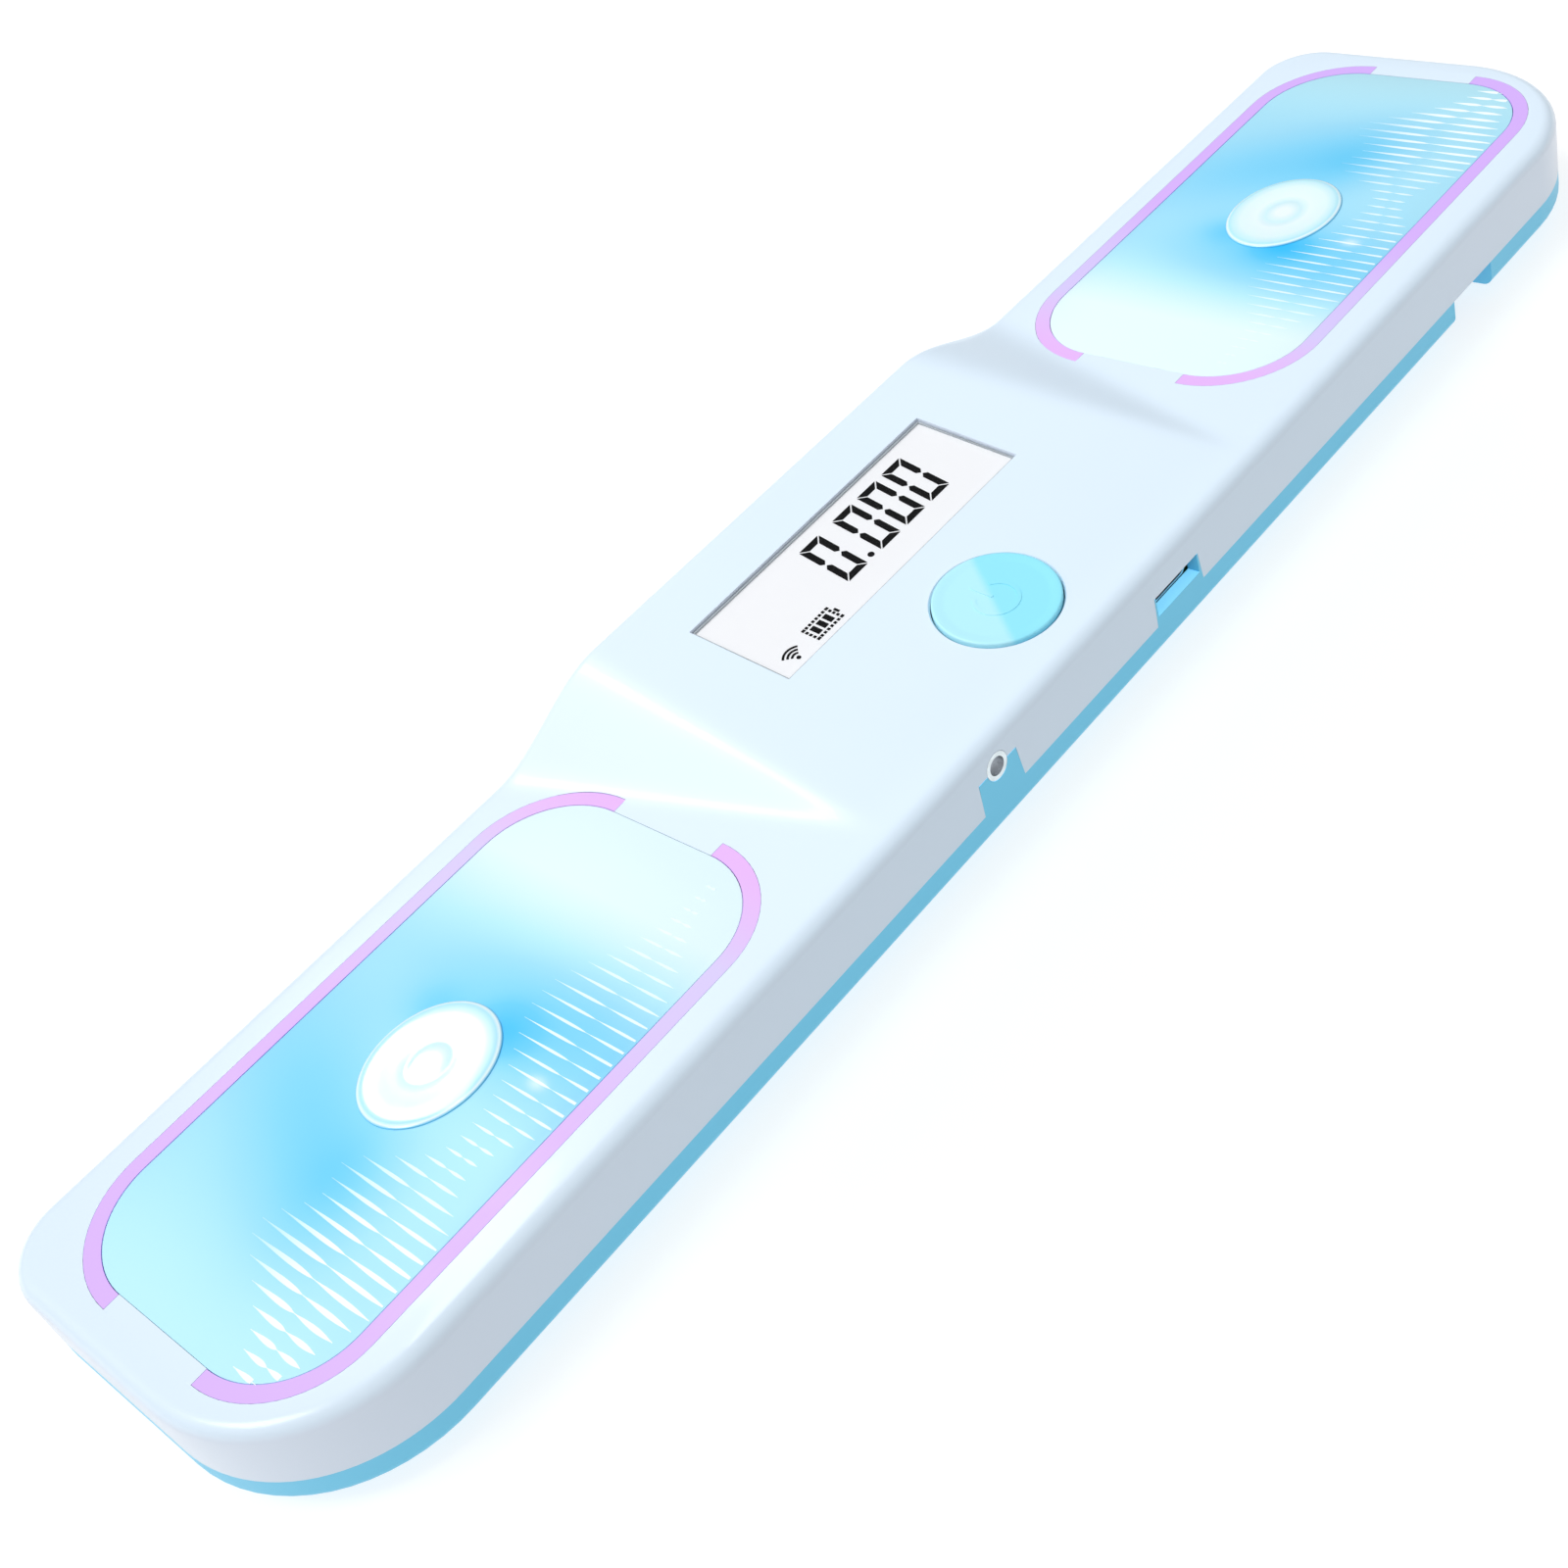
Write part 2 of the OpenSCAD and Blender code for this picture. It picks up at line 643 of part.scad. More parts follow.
top_shell();
bottom_shell();
pad(-1);  // left_pad
pad(1);  // right_pad
disc(-1);  // left_disc
disc(1);  // right_disc
trim(-1, 1);  // left_back_trim
trim(-1, -1);  // left_front_trim
trim(1, 1);  // right_back_trim
trim(1, -1);  // right_front_trim
display_window();
window_gasket();
display_glass();
display_segments();
display_frame();
power_button();
switch_plunger();
tact_switch();
main_board();
controller_chip();
radio_module();
usb_receptacle();
usb_tongue();
jack_barrel();
jack_body();
battery();
battery_tape();
battery_socket();
battery_plug();
cell_wires();
beam(-1);  // left_beam
beam(1);  // right_beam
cell_clamp(-1);  // left_cell_clamp
cell_clamp(1);  // right_cell_clamp
shell_screws();
load_cell(0);  // load_cell_1
load_cell(1);  // load_cell_2
load_cell(2);  // load_cell_3
load_cell(3);  // load_cell_4
foot_cup(0);  // foot_cup_1
foot_cup(1);  // foot_cup_2
foot_cup(2);  // foot_cup_3
foot_cup(3);  // foot_cup_4
foot_pad(0);  // foot_pad_1
foot_pad(1);  // foot_pad_2
foot_pad(2);  // foot_pad_3
foot_pad(3);  // foot_pad_4
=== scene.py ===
import json
import math
import bmesh
import bpy
from mathutils import Matrix, Vector


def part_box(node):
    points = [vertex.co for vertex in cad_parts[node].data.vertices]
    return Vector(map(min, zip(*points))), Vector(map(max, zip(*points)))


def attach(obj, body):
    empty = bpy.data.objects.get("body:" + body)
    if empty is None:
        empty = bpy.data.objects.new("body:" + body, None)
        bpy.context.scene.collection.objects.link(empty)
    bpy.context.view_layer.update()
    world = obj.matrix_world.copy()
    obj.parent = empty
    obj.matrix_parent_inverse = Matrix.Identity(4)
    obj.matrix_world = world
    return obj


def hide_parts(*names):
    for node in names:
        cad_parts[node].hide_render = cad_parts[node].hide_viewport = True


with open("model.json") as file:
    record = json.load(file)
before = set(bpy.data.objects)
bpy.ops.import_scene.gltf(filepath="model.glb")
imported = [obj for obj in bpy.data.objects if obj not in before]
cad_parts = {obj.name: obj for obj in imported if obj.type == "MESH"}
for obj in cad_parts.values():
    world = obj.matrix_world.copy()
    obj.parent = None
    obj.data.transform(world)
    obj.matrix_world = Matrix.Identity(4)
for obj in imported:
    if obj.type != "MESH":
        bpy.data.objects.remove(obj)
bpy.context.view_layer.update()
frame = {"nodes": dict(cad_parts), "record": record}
nodes = frame["nodes"]
MM = 0.001

# ---------------------------------------------------------------- sizes read from the frame
shell_low, shell_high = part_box("top_shell")
pad_low, pad_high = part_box("right_pad")
HALF_L = shell_high.x
HALF_W = shell_high.y
DECK_Z = pad_high.z
PARTING_Z = shell_low.z
RISE = shell_high.z - DECK_Z
WALL = 1.8 * MM
FRONT_R = 22 * MM
BACK_R = 9 * MM
EDGE_R = 2 * MM
HINGE_Y = -23.8 * MM
TILT = math.atan2(RISE, HALF_W - HINGE_Y)

# Deck wedge: where its ramps start and end at the back edge, and where they meet in front
RAMP_TOP = 33.5 * MM
RAMP_FOOT = 54 * MM
RAMP_APEX = 38 * MM

PAD_X = (pad_low.x + pad_high.x) / 2
PAD_HALF_L = (pad_high.x - pad_low.x) / 2
PAD_HALF_W = (pad_high.y - pad_low.y) / 2
PAD_R = 12 * MM
disc_low, disc_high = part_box("right_disc")
DISC_R = disc_high.y
DISC_OVAL = (disc_high.x - disc_low.x) / (2 * DISC_R)
DISC_H = disc_high.z - DECK_Z
GAP = 0.1 * MM


# ---------------------------------------------------------------- node helpers
def new_material(name):
    """A node material with an empty tree, its output and a Principled shader."""
    mat = bpy.data.materials.new(name)
    mat.use_nodes = True
    tree = mat.node_tree
    tree.nodes.clear()
    out = tree.nodes.new("ShaderNodeOutputMaterial")
    shader = tree.nodes.new("ShaderNodeBsdfPrincipled")
    tree.links.new(shader.outputs[0], out.inputs["Surface"])
    return mat, tree, shader


def srgb(r, g, b):
    """Linear colour of 8-bit display values."""
    def line(c):
        c /= 255
        return c / 12.92 if c <= 0.04045 else ((c + 0.055) / 1.055) ** 2.4
    return (line(r), line(g), line(b), 1)


def seen(r, g, b):
    """Base colour of an upward face that shows as these 8-bit values under the studio light."""
    gloss, light = 0.07, 0.95
    return tuple(max(0.002, (c - gloss) / light) for c in srgb(r, g, b)[:3]) + (1,)


SHELL_WHITE = seen(226, 241, 254)


class Graph:
    """Small wrapper that makes math, mix and texture nodes in one call."""

    def __init__(self, tree):
        self.tree = tree
        self.coord = tree.nodes.new("ShaderNodeTexCoord")
        self.split = tree.nodes.new("ShaderNodeSeparateXYZ")
        tree.links.new(self.coord.outputs["Object"], self.split.inputs[0])

    @property
    def x(self):
        return self.split.outputs[0]

    @property
    def y(self):
        return self.split.outputs[1]

    @property
    def z(self):
        return self.split.outputs[2]

    def put(self, socket, value):
        if isinstance(value, bpy.types.NodeSocket):
            self.tree.links.new(value, socket)
        else:
            socket.default_value = value

    def math(self, op, a, b=0.0):
        node = self.tree.nodes.new("ShaderNodeMath")
        node.operation = op
        self.put(node.inputs[0], a)
        self.put(node.inputs[1], b)
        return node.outputs[0]

    def ramp(self, value, low, high, out_low=0.0, out_high=1.0):
        """Smooth step of value from low to high."""
        node = self.tree.nodes.new("ShaderNodeMapRange")
        node.interpolation_type = "SMOOTHSTEP"
        self.put(node.inputs["Value"], value)
        node.inputs["From Min"].default_value = low
        node.inputs["From Max"].default_value = high
        node.inputs["To Min"].default_value = out_low
        node.inputs["To Max"].default_value = out_high
        return node.outputs["Result"]

    def mix(self, factor, a, b):
        node = self.tree.nodes.new("ShaderNodeMix")
        node.data_type = "RGBA"
        self.put(node.inputs["Factor"], factor)
        self.put(node.inputs["A"], a)
        self.put(node.inputs["B"], b)
        return node.outputs["Result"]

    def noise(self, scale, detail=3.0, roughness=0.5):
        node = self.tree.nodes.new("ShaderNodeTexNoise")
        node.inputs["Scale"].default_value = scale
        node.inputs["Detail"].default_value = detail
        node.inputs["Roughness"].default_value = roughness
        self.tree.links.new(self.coord.outputs["Object"], node.inputs["Vector"])
        return node.outputs["Fac"]

    def bump(self, height, strength, distance):
        node = self.tree.nodes.new("ShaderNodeBump")
        node.inputs["Strength"].default_value = strength
        node.inputs["Distance"].default_value = distance
        self.tree.links.new(height, node.inputs["Height"])
        return node.outputs["Normal"]


def finish_plastic(graph, shader, base, rough, spread, grain_scale, grain_depth, coat=0.0):
    """Moulded plastic: slight colour drift, uneven gloss and a fine grain."""
    drift = graph.noise(18.0, 2.0)
    shade = graph.mix(graph.ramp(drift, 0.35, 0.65), base, [c * 0.985 for c in base[:3]] + [1])
    graph.put(shader.inputs["Base Color"], shade)
    gloss = graph.noise(90.0, 4.0, 0.6)
    graph.put(shader.inputs["Roughness"], graph.ramp(gloss, 0.3, 0.7, rough - spread, rough + spread))
    grain = graph.noise(grain_scale, 4.0, 0.55)
    graph.put(shader.inputs["Normal"], graph.bump(grain, 0.25, grain_depth))
    shader.inputs["Coat Weight"].default_value = coat
    shader.inputs["Coat Roughness"].default_value = 0.06


def uneven_gloss(graph, shader, scale, low, high, detail=4.0):
    """Roughness that wanders between two values."""
    graph.put(shader.inputs["Roughness"], graph.ramp(graph.noise(scale, detail), 0.3, 0.7, low, high))


def fine_grain(graph, shader, scale, strength):
    """Shallow grain of a smooth printed or moulded face."""
    graph.put(shader.inputs["Normal"], graph.bump(graph.noise(scale, 3.0), strength, 0.01 * MM))


def plastic(name, base, rough=0.3, spread=0.05, grain_scale=2200.0, grain_depth=0.00002,
            specular=0.5, glow=0.0):
    """Plain moulded plastic, with a glow where it stands in for light that doesn't reach a hole."""
    mat, tree, shader = new_material(name)
    finish_plastic(Graph(tree), shader, base, rough, spread, grain_scale, grain_depth)
    shader.inputs["Specular IOR Level"].default_value = specular
    shader.inputs["Emission Color"].default_value = base
    shader.inputs["Emission Strength"].default_value = glow
    return mat


def facing_up(graph, low, high):
    """0 where the surface's normal is level, up to 1 where it points up."""
    geometry = graph.tree.nodes.new("ShaderNodeNewGeometry")
    parts = graph.tree.nodes.new("ShaderNodeSeparateXYZ")
    graph.tree.links.new(geometry.outputs["Normal"], parts.inputs[0])
    return graph.ramp(parts.outputs[2], low, high)


def upper_shell_material():
    """White plastic with a hint of blue, with painted shade: greyer on its walls and darker towards the left
    end.
    """
    mat, tree, shader = new_material("white_shell")
    graph = Graph(tree)
    finish_plastic(graph, shader, SHELL_WHITE, 0.3, 0.015, 2600.0, 0.000008, 0.2)
    plain = shader.inputs["Base Color"].links[0].from_socket
    # Painted shade: the walls take a greyer colour than the top, chosen by the surface's normal.
    wall = [c * k for c, k in zip(SHELL_WHITE[:3], (0.86, 0.82, 0.83))] + [1]
    # Painted shade: the top darkens towards the left end, 7 % darker left of x = -122 mm.
    end = graph.ramp(graph.x, -122 * MM, -30 * MM)
    top = graph.mix(end, [c * 0.93 for c in SHELL_WHITE[:3]] + [1], plain)
    graph.put(shader.inputs["Base Color"], graph.mix(facing_up(graph, 0.1, 0.7), wall, top))
    return mat


def metal(name, base, rough=0.2, stretch=(1, 1, 1)):
    """Metal with uneven gloss and fine marks along one direction."""
    mat, tree, shader = new_material(name)
    graph = Graph(tree)
    mapping = tree.nodes.new("ShaderNodeMapping")
    mapping.inputs["Scale"].default_value = stretch
    tree.links.new(graph.coord.outputs["Object"], mapping.inputs["Vector"])
    marks = tree.nodes.new("ShaderNodeTexNoise")
    marks.inputs["Scale"].default_value = 900.0
    marks.inputs["Detail"].default_value = 5.0
    tree.links.new(mapping.outputs[0], marks.inputs["Vector"])
    shader.inputs["Metallic"].default_value = 1.0
    level = marks.outputs["Fac"]
    worn = [c * 0.86 for c in base[:3]] + [1]
    graph.put(shader.inputs["Base Color"], graph.mix(graph.ramp(level, 0.3, 0.7), base, worn))
    graph.put(shader.inputs["Roughness"], graph.ramp(level, 0.3, 0.7, rough * 0.7, rough * 1.4))
    graph.put(shader.inputs["Normal"], graph.bump(level, 0.2, 0.01 * MM))
    return mat


# ---------------------------------------------------------------- pad print
WHITE_INK = seen(248, 255, 255)


def bell(graph, x, y, centre, spread):
    """Round or oval glow: 1 at its centre and falling off as a bell curve."""
    dx = graph.math("DIVIDE", graph.math("SUBTRACT", x, centre[0] * MM), spread[0] * MM)
    dy = graph.math("DIVIDE", graph.math("SUBTRACT", y, centre[1] * MM), spread[1] * MM)
    square = graph.math("ADD", graph.math("MULTIPLY", dx, dx), graph.math("MULTIPLY", dy, dy))
    return graph.math("EXPONENT", graph.math("MULTIPLY", square, -1.0))


def colour_ramp(graph, value, stops):
    """Colour ramp through a few stops of (place, colour)."""
    node = graph.tree.nodes.new("ShaderNodeValToRGB")
    graph.tree.links.new(value, node.inputs[0])
    ramp = node.color_ramp
    while len(ramp.elements) < len(stops):
        ramp.elements.new(1.0)
    for element, (place, colour) in zip(ramp.elements, stops):
        element.position = place
        element.color = colour
    return node.outputs[0]


# Blue glows of a pad: (centre, spread, depth), in millimetres from the middle of the bar
PAD_GLOWS = (
    ((79.5, -8), (9, 18), 0.20),
    ((106, -3), (6, 6), 0.06),
    ((82.5, -4.5), (3.4, 4.4), 0.34),
    ((84, 5.5), (3.4, 4.4), 0.14),
)


def pad_colour(graph):
    """Printed gradient of a pad: pale towards the middle of the bar, blue around the disc."""
    x = graph.math("ABSOLUTE", graph.x)
    y = graph.y
    tone = graph.ramp(x, 57 * MM, 80 * MM, 0.94, 0.70)
    tone = graph.math("ADD", tone, graph.ramp(x, 112 * MM, 130 * MM, 0.0, 0.06))
    bend = graph.math("SUBTRACT", x, graph.math("MULTIPLY", graph.math("SUBTRACT", y, 4 * MM), -0.42))
    upper = graph.ramp(y, -16 * MM, 0.0)
    swirl = graph.math("MULTIPLY", bell(graph, bend, y, (104, 2), (10.5, 24)), upper)
    tone = graph.math("SUBTRACT", tone, graph.math("MULTIPLY", swirl, 0.19))
    for centre, spread, depth in PAD_GLOWS:
        glow = graph.math("MULTIPLY", bell(graph, x, y, centre, spread), depth)
        tone = graph.math("SUBTRACT", tone, glow)
    colour = colour_ramp(graph, tone, (
        (0.16, seen(38, 192, 250)), (0.42, seen(108, 203, 245)), (0.55, seen(140, 215, 248)),
        (0.64, seen(161, 222, 248)), (0.75, seen(188, 236, 251)), (0.91, seen(228, 248, 254))))
    spark = bell(graph, x, y, (85.8, -13.9), (0.9, 1.3))
    return graph.mix(graph.math("MULTIPLY", spark, 0.5), colour, WHITE_INK), x


def pad_material():
    """Satin printed panel."""
    mat, tree, shader = new_material("pad_print")
    graph = Graph(tree)
    colour, _ = pad_colour(graph)
    graph.put(shader.inputs["Base Color"], colour)
    uneven_gloss(graph, shader, 60.0, 0.3, 0.38)
    fine_grain(graph, shader, 1500.0, 0.12)
    return mat


def stroke_material():
    """White ink of the strokes, which fades into the print at its tips and inner end."""
    mat, tree, shader = new_material("stroke_ink")
    graph = Graph(tree)
    colour, x = pad_colour(graph)
    tip = graph.ramp(graph.y, 2 * MM, -11 * MM, 0.25, 0.95)
    stops = ((0.0, 0.3), (0.22, 0.8), (0.4, 0.85), (0.72, 0.7), (0.86, 1.0))
    along = graph.ramp(x, 50 * MM, 130 * MM)
    strength = colour_ramp(graph, along, [(place, (level, level, level, 1)) for place, level in stops])
    cover = graph.math("MULTIPLY", tip, strength)
    graph.put(shader.inputs["Base Color"], graph.mix(cover, colour, WHITE_INK))
    uneven_gloss(graph, shader, 60.0, 0.3, 0.4)
    return mat


def trim_material():
    """Purple print of the bands: plain outside, lavender further in and pinker at the inner end."""
    mat, tree, shader = new_material("trim_purple")
    graph = Graph(tree)
    x = graph.math("ABSOLUTE", graph.x)
    colour = colour_ramp(graph, graph.ramp(x, 48 * MM, 96 * MM), (
        (0.0, seen(232, 187, 252)), (0.04, seen(230, 191, 252)), (0.25, seen(216, 204, 250)),
        (0.6, seen(216, 198, 251)), (0.95, seen(217, 182, 252))))
    graph.put(shader.inputs["Base Color"], colour)
    uneven_gloss(graph, shader, 60.0, 0.3, 0.4)
    fine_grain(graph, shader, 1500.0, 0.12)
    return mat


def disc_material():
    """Pearly white disc: a cyan tint inside its rim and in a soft ring near the middle."""
    mat, tree, shader = new_material("disc_white")
    graph = Graph(tree)
    x = graph.math("DIVIDE", graph.math("SUBTRACT", graph.math("ABSOLUTE", graph.x), PAD_X), DISC_OVAL)
    square = graph.math("ADD", graph.math("MULTIPLY", x, x), graph.math("MULTIPLY", graph.y, graph.y))
    radius = graph.math("SQRT", square)
    colour = colour_ramp(graph, graph.math("DIVIDE", radius, DISC_R), (
        (0.12, seen(238, 250, 252)), (0.30, seen(212, 243, 250)), (0.46, seen(234, 250, 253)),
        (0.74, seen(228, 249, 252)), (0.88, seen(204, 242, 251)), (0.93, seen(184, 235, 250)),
        (0.97, seen(236, 251, 253)), (1.0, seen(120, 208, 246))))
    graph.put(shader.inputs["Base Color"], colour)
    uneven_gloss(graph, shader, 70.0, 0.1, 0.16)
    shader.inputs["Coat Weight"].default_value = 0.2
    shader.inputs["Subsurface Weight"].default_value = 0.1
    shader.inputs["Subsurface Scale"].default_value = 0.001
    return mat


def button_material():
    """Light cyan button with a painted reflection: paler over its back left half, darker over the rest."""
    mat, tree, shader = new_material("button_blue")
    graph = Graph(tree)
    low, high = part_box("power_button")
    x = graph.math("SUBTRACT", graph.x, (low.x + high.x) / 2)
    y = graph.math("SUBTRACT", graph.y, (low.y + high.y) / 2)
    # Painted reflection: pale and darker cyan split across the face along this line.
    painted_reflection_axis = graph.math("ADD", graph.math("MULTIPLY", x, 0.815), graph.math("MULTIPLY", y, -0.579))
    turn = graph.ramp(painted_reflection_axis, -1.2 * MM, 0.2 * MM)
    colour = graph.mix(turn, seen(188, 241, 253), seen(156, 233, 252))
    graph.put(shader.inputs["Base Color"], colour)
    uneven_gloss(graph, shader, 80.0, 0.34, 0.37)
    fine_grain(graph, shader, 1800.0, 0.1)
    return mat


def window_material():
    """Clear film over the display, with an uneven gloss."""
    mat, tree, shader = new_material("clear_window")
    graph = Graph(tree)
    shader.inputs["Base Color"].default_value = (0.02, 0.022, 0.025, 1)
    shader.inputs["Alpha"].default_value = 0.02
    uneven_gloss(graph, shader, 70.0, 0.05, 0.12, 3.0)
    return mat


def lower_shell_material():
    """Matt blue plastic of the lower shell, with painted light on the ledge in the charging slot: a paler
    blue and a glow.
    """
    mat, tree, shader = new_material("blue_shell")
    graph = Graph(tree)
    finish_plastic(graph, shader, srgb(109, 201, 235), 0.42, 0.03, 2600.0, 0.00002)
    # Painted light: up-facing faces of the slot's ledge take a paler blue and glow, standing in for light
    # that reaches in.
    ledge = graph.math("MULTIPLY", facing_up(graph, 0.5, 0.9), graph.ramp(graph.y, -24 * MM, -25.5 * MM))
    ledge = graph.math("MULTIPLY", ledge, graph.ramp(graph.z, 5 * MM, 6 * MM))
    plain = shader.inputs["Base Color"].links[0].from_socket
    graph.put(shader.inputs["Base Color"], graph.mix(ledge, plain, srgb(150, 226, 254)))
    shader.inputs["Emission Color"].default_value = srgb(130, 216, 255)
    graph.put(shader.inputs["Emission Strength"], graph.math("MULTIPLY", ledge, 0.6))
    return mat


MATERIALS = {
    "white_shell": upper_shell_material(),
    "blue_shell": lower_shell_material(),
    "pad_print": pad_material(),
    "stroke_ink": stroke_material(),
    "disc_white": disc_material(),
    "trim_purple": trim_material(),
    "clear_window": window_material(),
    "black_foam": plastic("black_foam", srgb(176, 184, 190), 0.8, 0.1, 1500.0, 0.00006),
    "display_glass": plastic("display_glass", seen(249, 250, 253), 0.35, 0.04, 1800.0, 0.000006),
    "display_ink": plastic("display_ink", srgb(8, 8, 10), 0.6, 0.06, 1800.0, 0.000006, 0.1),
    "frame_plastic": plastic("frame_plastic", srgb(216, 220, 222), 0.45),
    "button_blue": button_material(),
    "black_plastic": plastic("black_plastic", srgb(34, 35, 38), 0.45),
    "board_green": plastic("board_green", srgb(30, 110, 66), 0.3, 0.05, 900.0, 0.00003),
    "bright_steel": metal("bright_steel", srgb(232, 235, 238), 0.3),
    "battery_wrap": plastic("battery_wrap", srgb(96, 132, 176), 0.35),
    "white_plastic": plastic("white_plastic", srgb(236, 239, 240), 0.4),
    "wire_red": plastic("wire_red", srgb(190, 44, 36), 0.4),
    "plate_steel": metal("plate_steel", srgb(180, 184, 188), 0.3, (1, 12, 12)),
    "blue_cup": plastic("blue_cup", srgb(120, 200, 230), 0.42, 0.06, 2200.0, 0.00002),
    "foot_rubber": plastic("foot_rubber", srgb(226, 234, 238), 0.75, 0.08, 1800.0, 0.00005),
    # Painted light: the round socket's grey glows, standing in for light that reaches inside it.
    "socket_grey": plastic("socket_grey", srgb(156, 158, 161), 0.45, glow=1.1),
}


# ---------------------------------------------------------------- mesh helpers
def make_object(name, verts, faces, slot, body="housing", smooth=True):
    """Object from points in metres that rides on a body and takes a slot's material."""
    mesh = bpy.data.meshes.new(name)
    mesh.from_pydata([tuple(v) for v in verts], [], faces)
    mesh.validate()
    obj = bpy.data.objects.new(name, mesh)
    bpy.context.scene.collection.objects.link(obj)
    dress(obj, slot)
    if smooth:
        smooth_by_angle(obj)
    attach(obj, body)
    return obj


def dress(obj, slot):
    """Gives an object one of the materials above."""
    obj.data.materials.clear()
    obj.data.materials.append(MATERIALS[slot])


def smooth_by_angle(obj, degrees=35):
    """Smooth shading, with sharp edges where faces meet at more than the angle."""
    obj.data.shade_smooth()
    bm = bmesh.new()
    bm.from_mesh(obj.data)
    for edge in bm.edges:
        if len(edge.link_faces) == 2:
            edge.smooth = edge.calc_face_angle(0) < math.radians(degrees)
    bm.to_mesh(obj.data)
    bm.free()


def outward(obj):
    """Turns all faces of a closed object outward."""
    bm = bmesh.new()
    bm.from_mesh(obj.data)
    bmesh.ops.recalc_face_normals(bm, faces=bm.faces)
    bm.to_mesh(obj.data)
    bm.free()


def apply_modifiers(obj):
    """Leaves the evaluated mesh as the object's own."""
    graph = bpy.context.evaluated_depsgraph_get()
    mesh = bpy.data.meshes.new_from_object(obj.evaluated_get(graph))
    old = obj.data
    obj.modifiers.clear()
    obj.data = mesh
    bpy.data.meshes.remove(old)


def lathe(profile, turns=96):
    """Points and faces of a closed profile of (radius, z), turned about Z. Radius 0 ends close it."""
    verts = []
    faces = []
    rings = []
    for r, z in profile:
        if r < 1e-9:
            rings.append([len(verts)])
            verts.append(Vector((0, 0, z)))
        else:
            ring = list(range(len(verts), len(verts) + turns))
            rings.append(ring)
            for k in range(turns):
                a = 2 * math.pi * k / turns
                verts.append(Vector((r * math.cos(a), r * math.sin(a), z)))
    for low, high in zip(rings, rings[1:]):
        for k in range(turns):
            m = (k + 1) % turns
            if len(low) == 1 and len(high) > 1:
                faces.append((low[0], high[k], high[m]))
            elif len(high) == 1 and len(low) > 1:
                faces.append((low[k], low[m], high[0]))
            elif len(low) > 1:
                faces.append((low[k], low[m], high[m], high[k]))
    return verts, faces


def rounded_outline(half_x, half_y, radius, steps=12):
    """Counter-clockwise rounded rectangle."""
    points = []
    for cx, cy, start in ((1, -1, 270), (1, 1, 0), (-1, 1, 90), (-1, -1, 180)):
        for k in range(steps + 1):
            a = math.radians(start + 90 * k / steps)
            points.append((cx * (half_x - radius) + radius * math.cos(a),
                           cy * (half_y - radius) + radius * math.sin(a)))
    return points


def prism(outline, z0, z1):
    """Closed prism over an outline."""
    n = len(outline)
    verts = [(x, y, z0) for x, y in outline] + [(x, y, z1) for x, y in outline]
    faces = [tuple(reversed(range(n))), tuple(range(n, 2 * n))]
    faces += [(k, (k + 1) % n, n + (k + 1) % n, n + k) for k in range(n)]
    return verts, faces


def cut(obj, tools):
    """Takes the tools' solids away from obj and removes the tools."""
    for tool in tools:
        mod = obj.modifiers.new("cut", "BOOLEAN")
        mod.operation = "DIFFERENCE"
        mod.solver = "EXACT"
        mod.object = tool
    apply_modifiers(obj)
    for tool in tools:
        bpy.data.objects.remove(tool)


def tool_object(verts, faces, matrix=None):
    """A cutter, in metres."""
    mesh = bpy.data.meshes.new("cutter")
    mesh.from_pydata([tuple(v) for v in verts], [], faces)
    obj = bpy.data.objects.new("cutter", mesh)
    bpy.context.scene.collection.objects.link(obj)
    if matrix is not None:
        mesh.transform(matrix)
    outward(obj)
    return obj


# Frame of the tilted deck: x, up the slope, out of the deck
DECK_FRAME = Matrix.Translation((0, HINGE_Y, DECK_Z)) @ Matrix.Rotation(TILT, 4, "X")


# ---------------------------------------------------------------- upper shell
def smoothstep(t):
    """Soft step from 0 to 1."""
    t = max(0.0, min(1.0, t))
    return t * t * (3 - 2 * t)


def deck_rise(x, y):
    """Height of the moulded deck above the flat deck: a tilted wedge with blended ramps."""
    slope = RISE / (HALF_W - HINGE_Y)
    ramp_in = 3 * MM
    run = y - HINGE_Y
    lift = slope * (run if run > ramp_in else max(0.0, (run + ramp_in)) ** 2 / (4 * ramp_in))
    part = max(0.0, min(1.0, (run + ramp_in) / (HALF_W - HINGE_Y)))
    top = RAMP_APEX - 0.5 * MM + (RAMP_TOP - RAMP_APEX) * part
    foot = RAMP_APEX + 0.5 * MM + (RAMP_FOOT - RAMP_APEX) * part
    return lift * smoothstep((foot - abs(x)) / (foot - top))


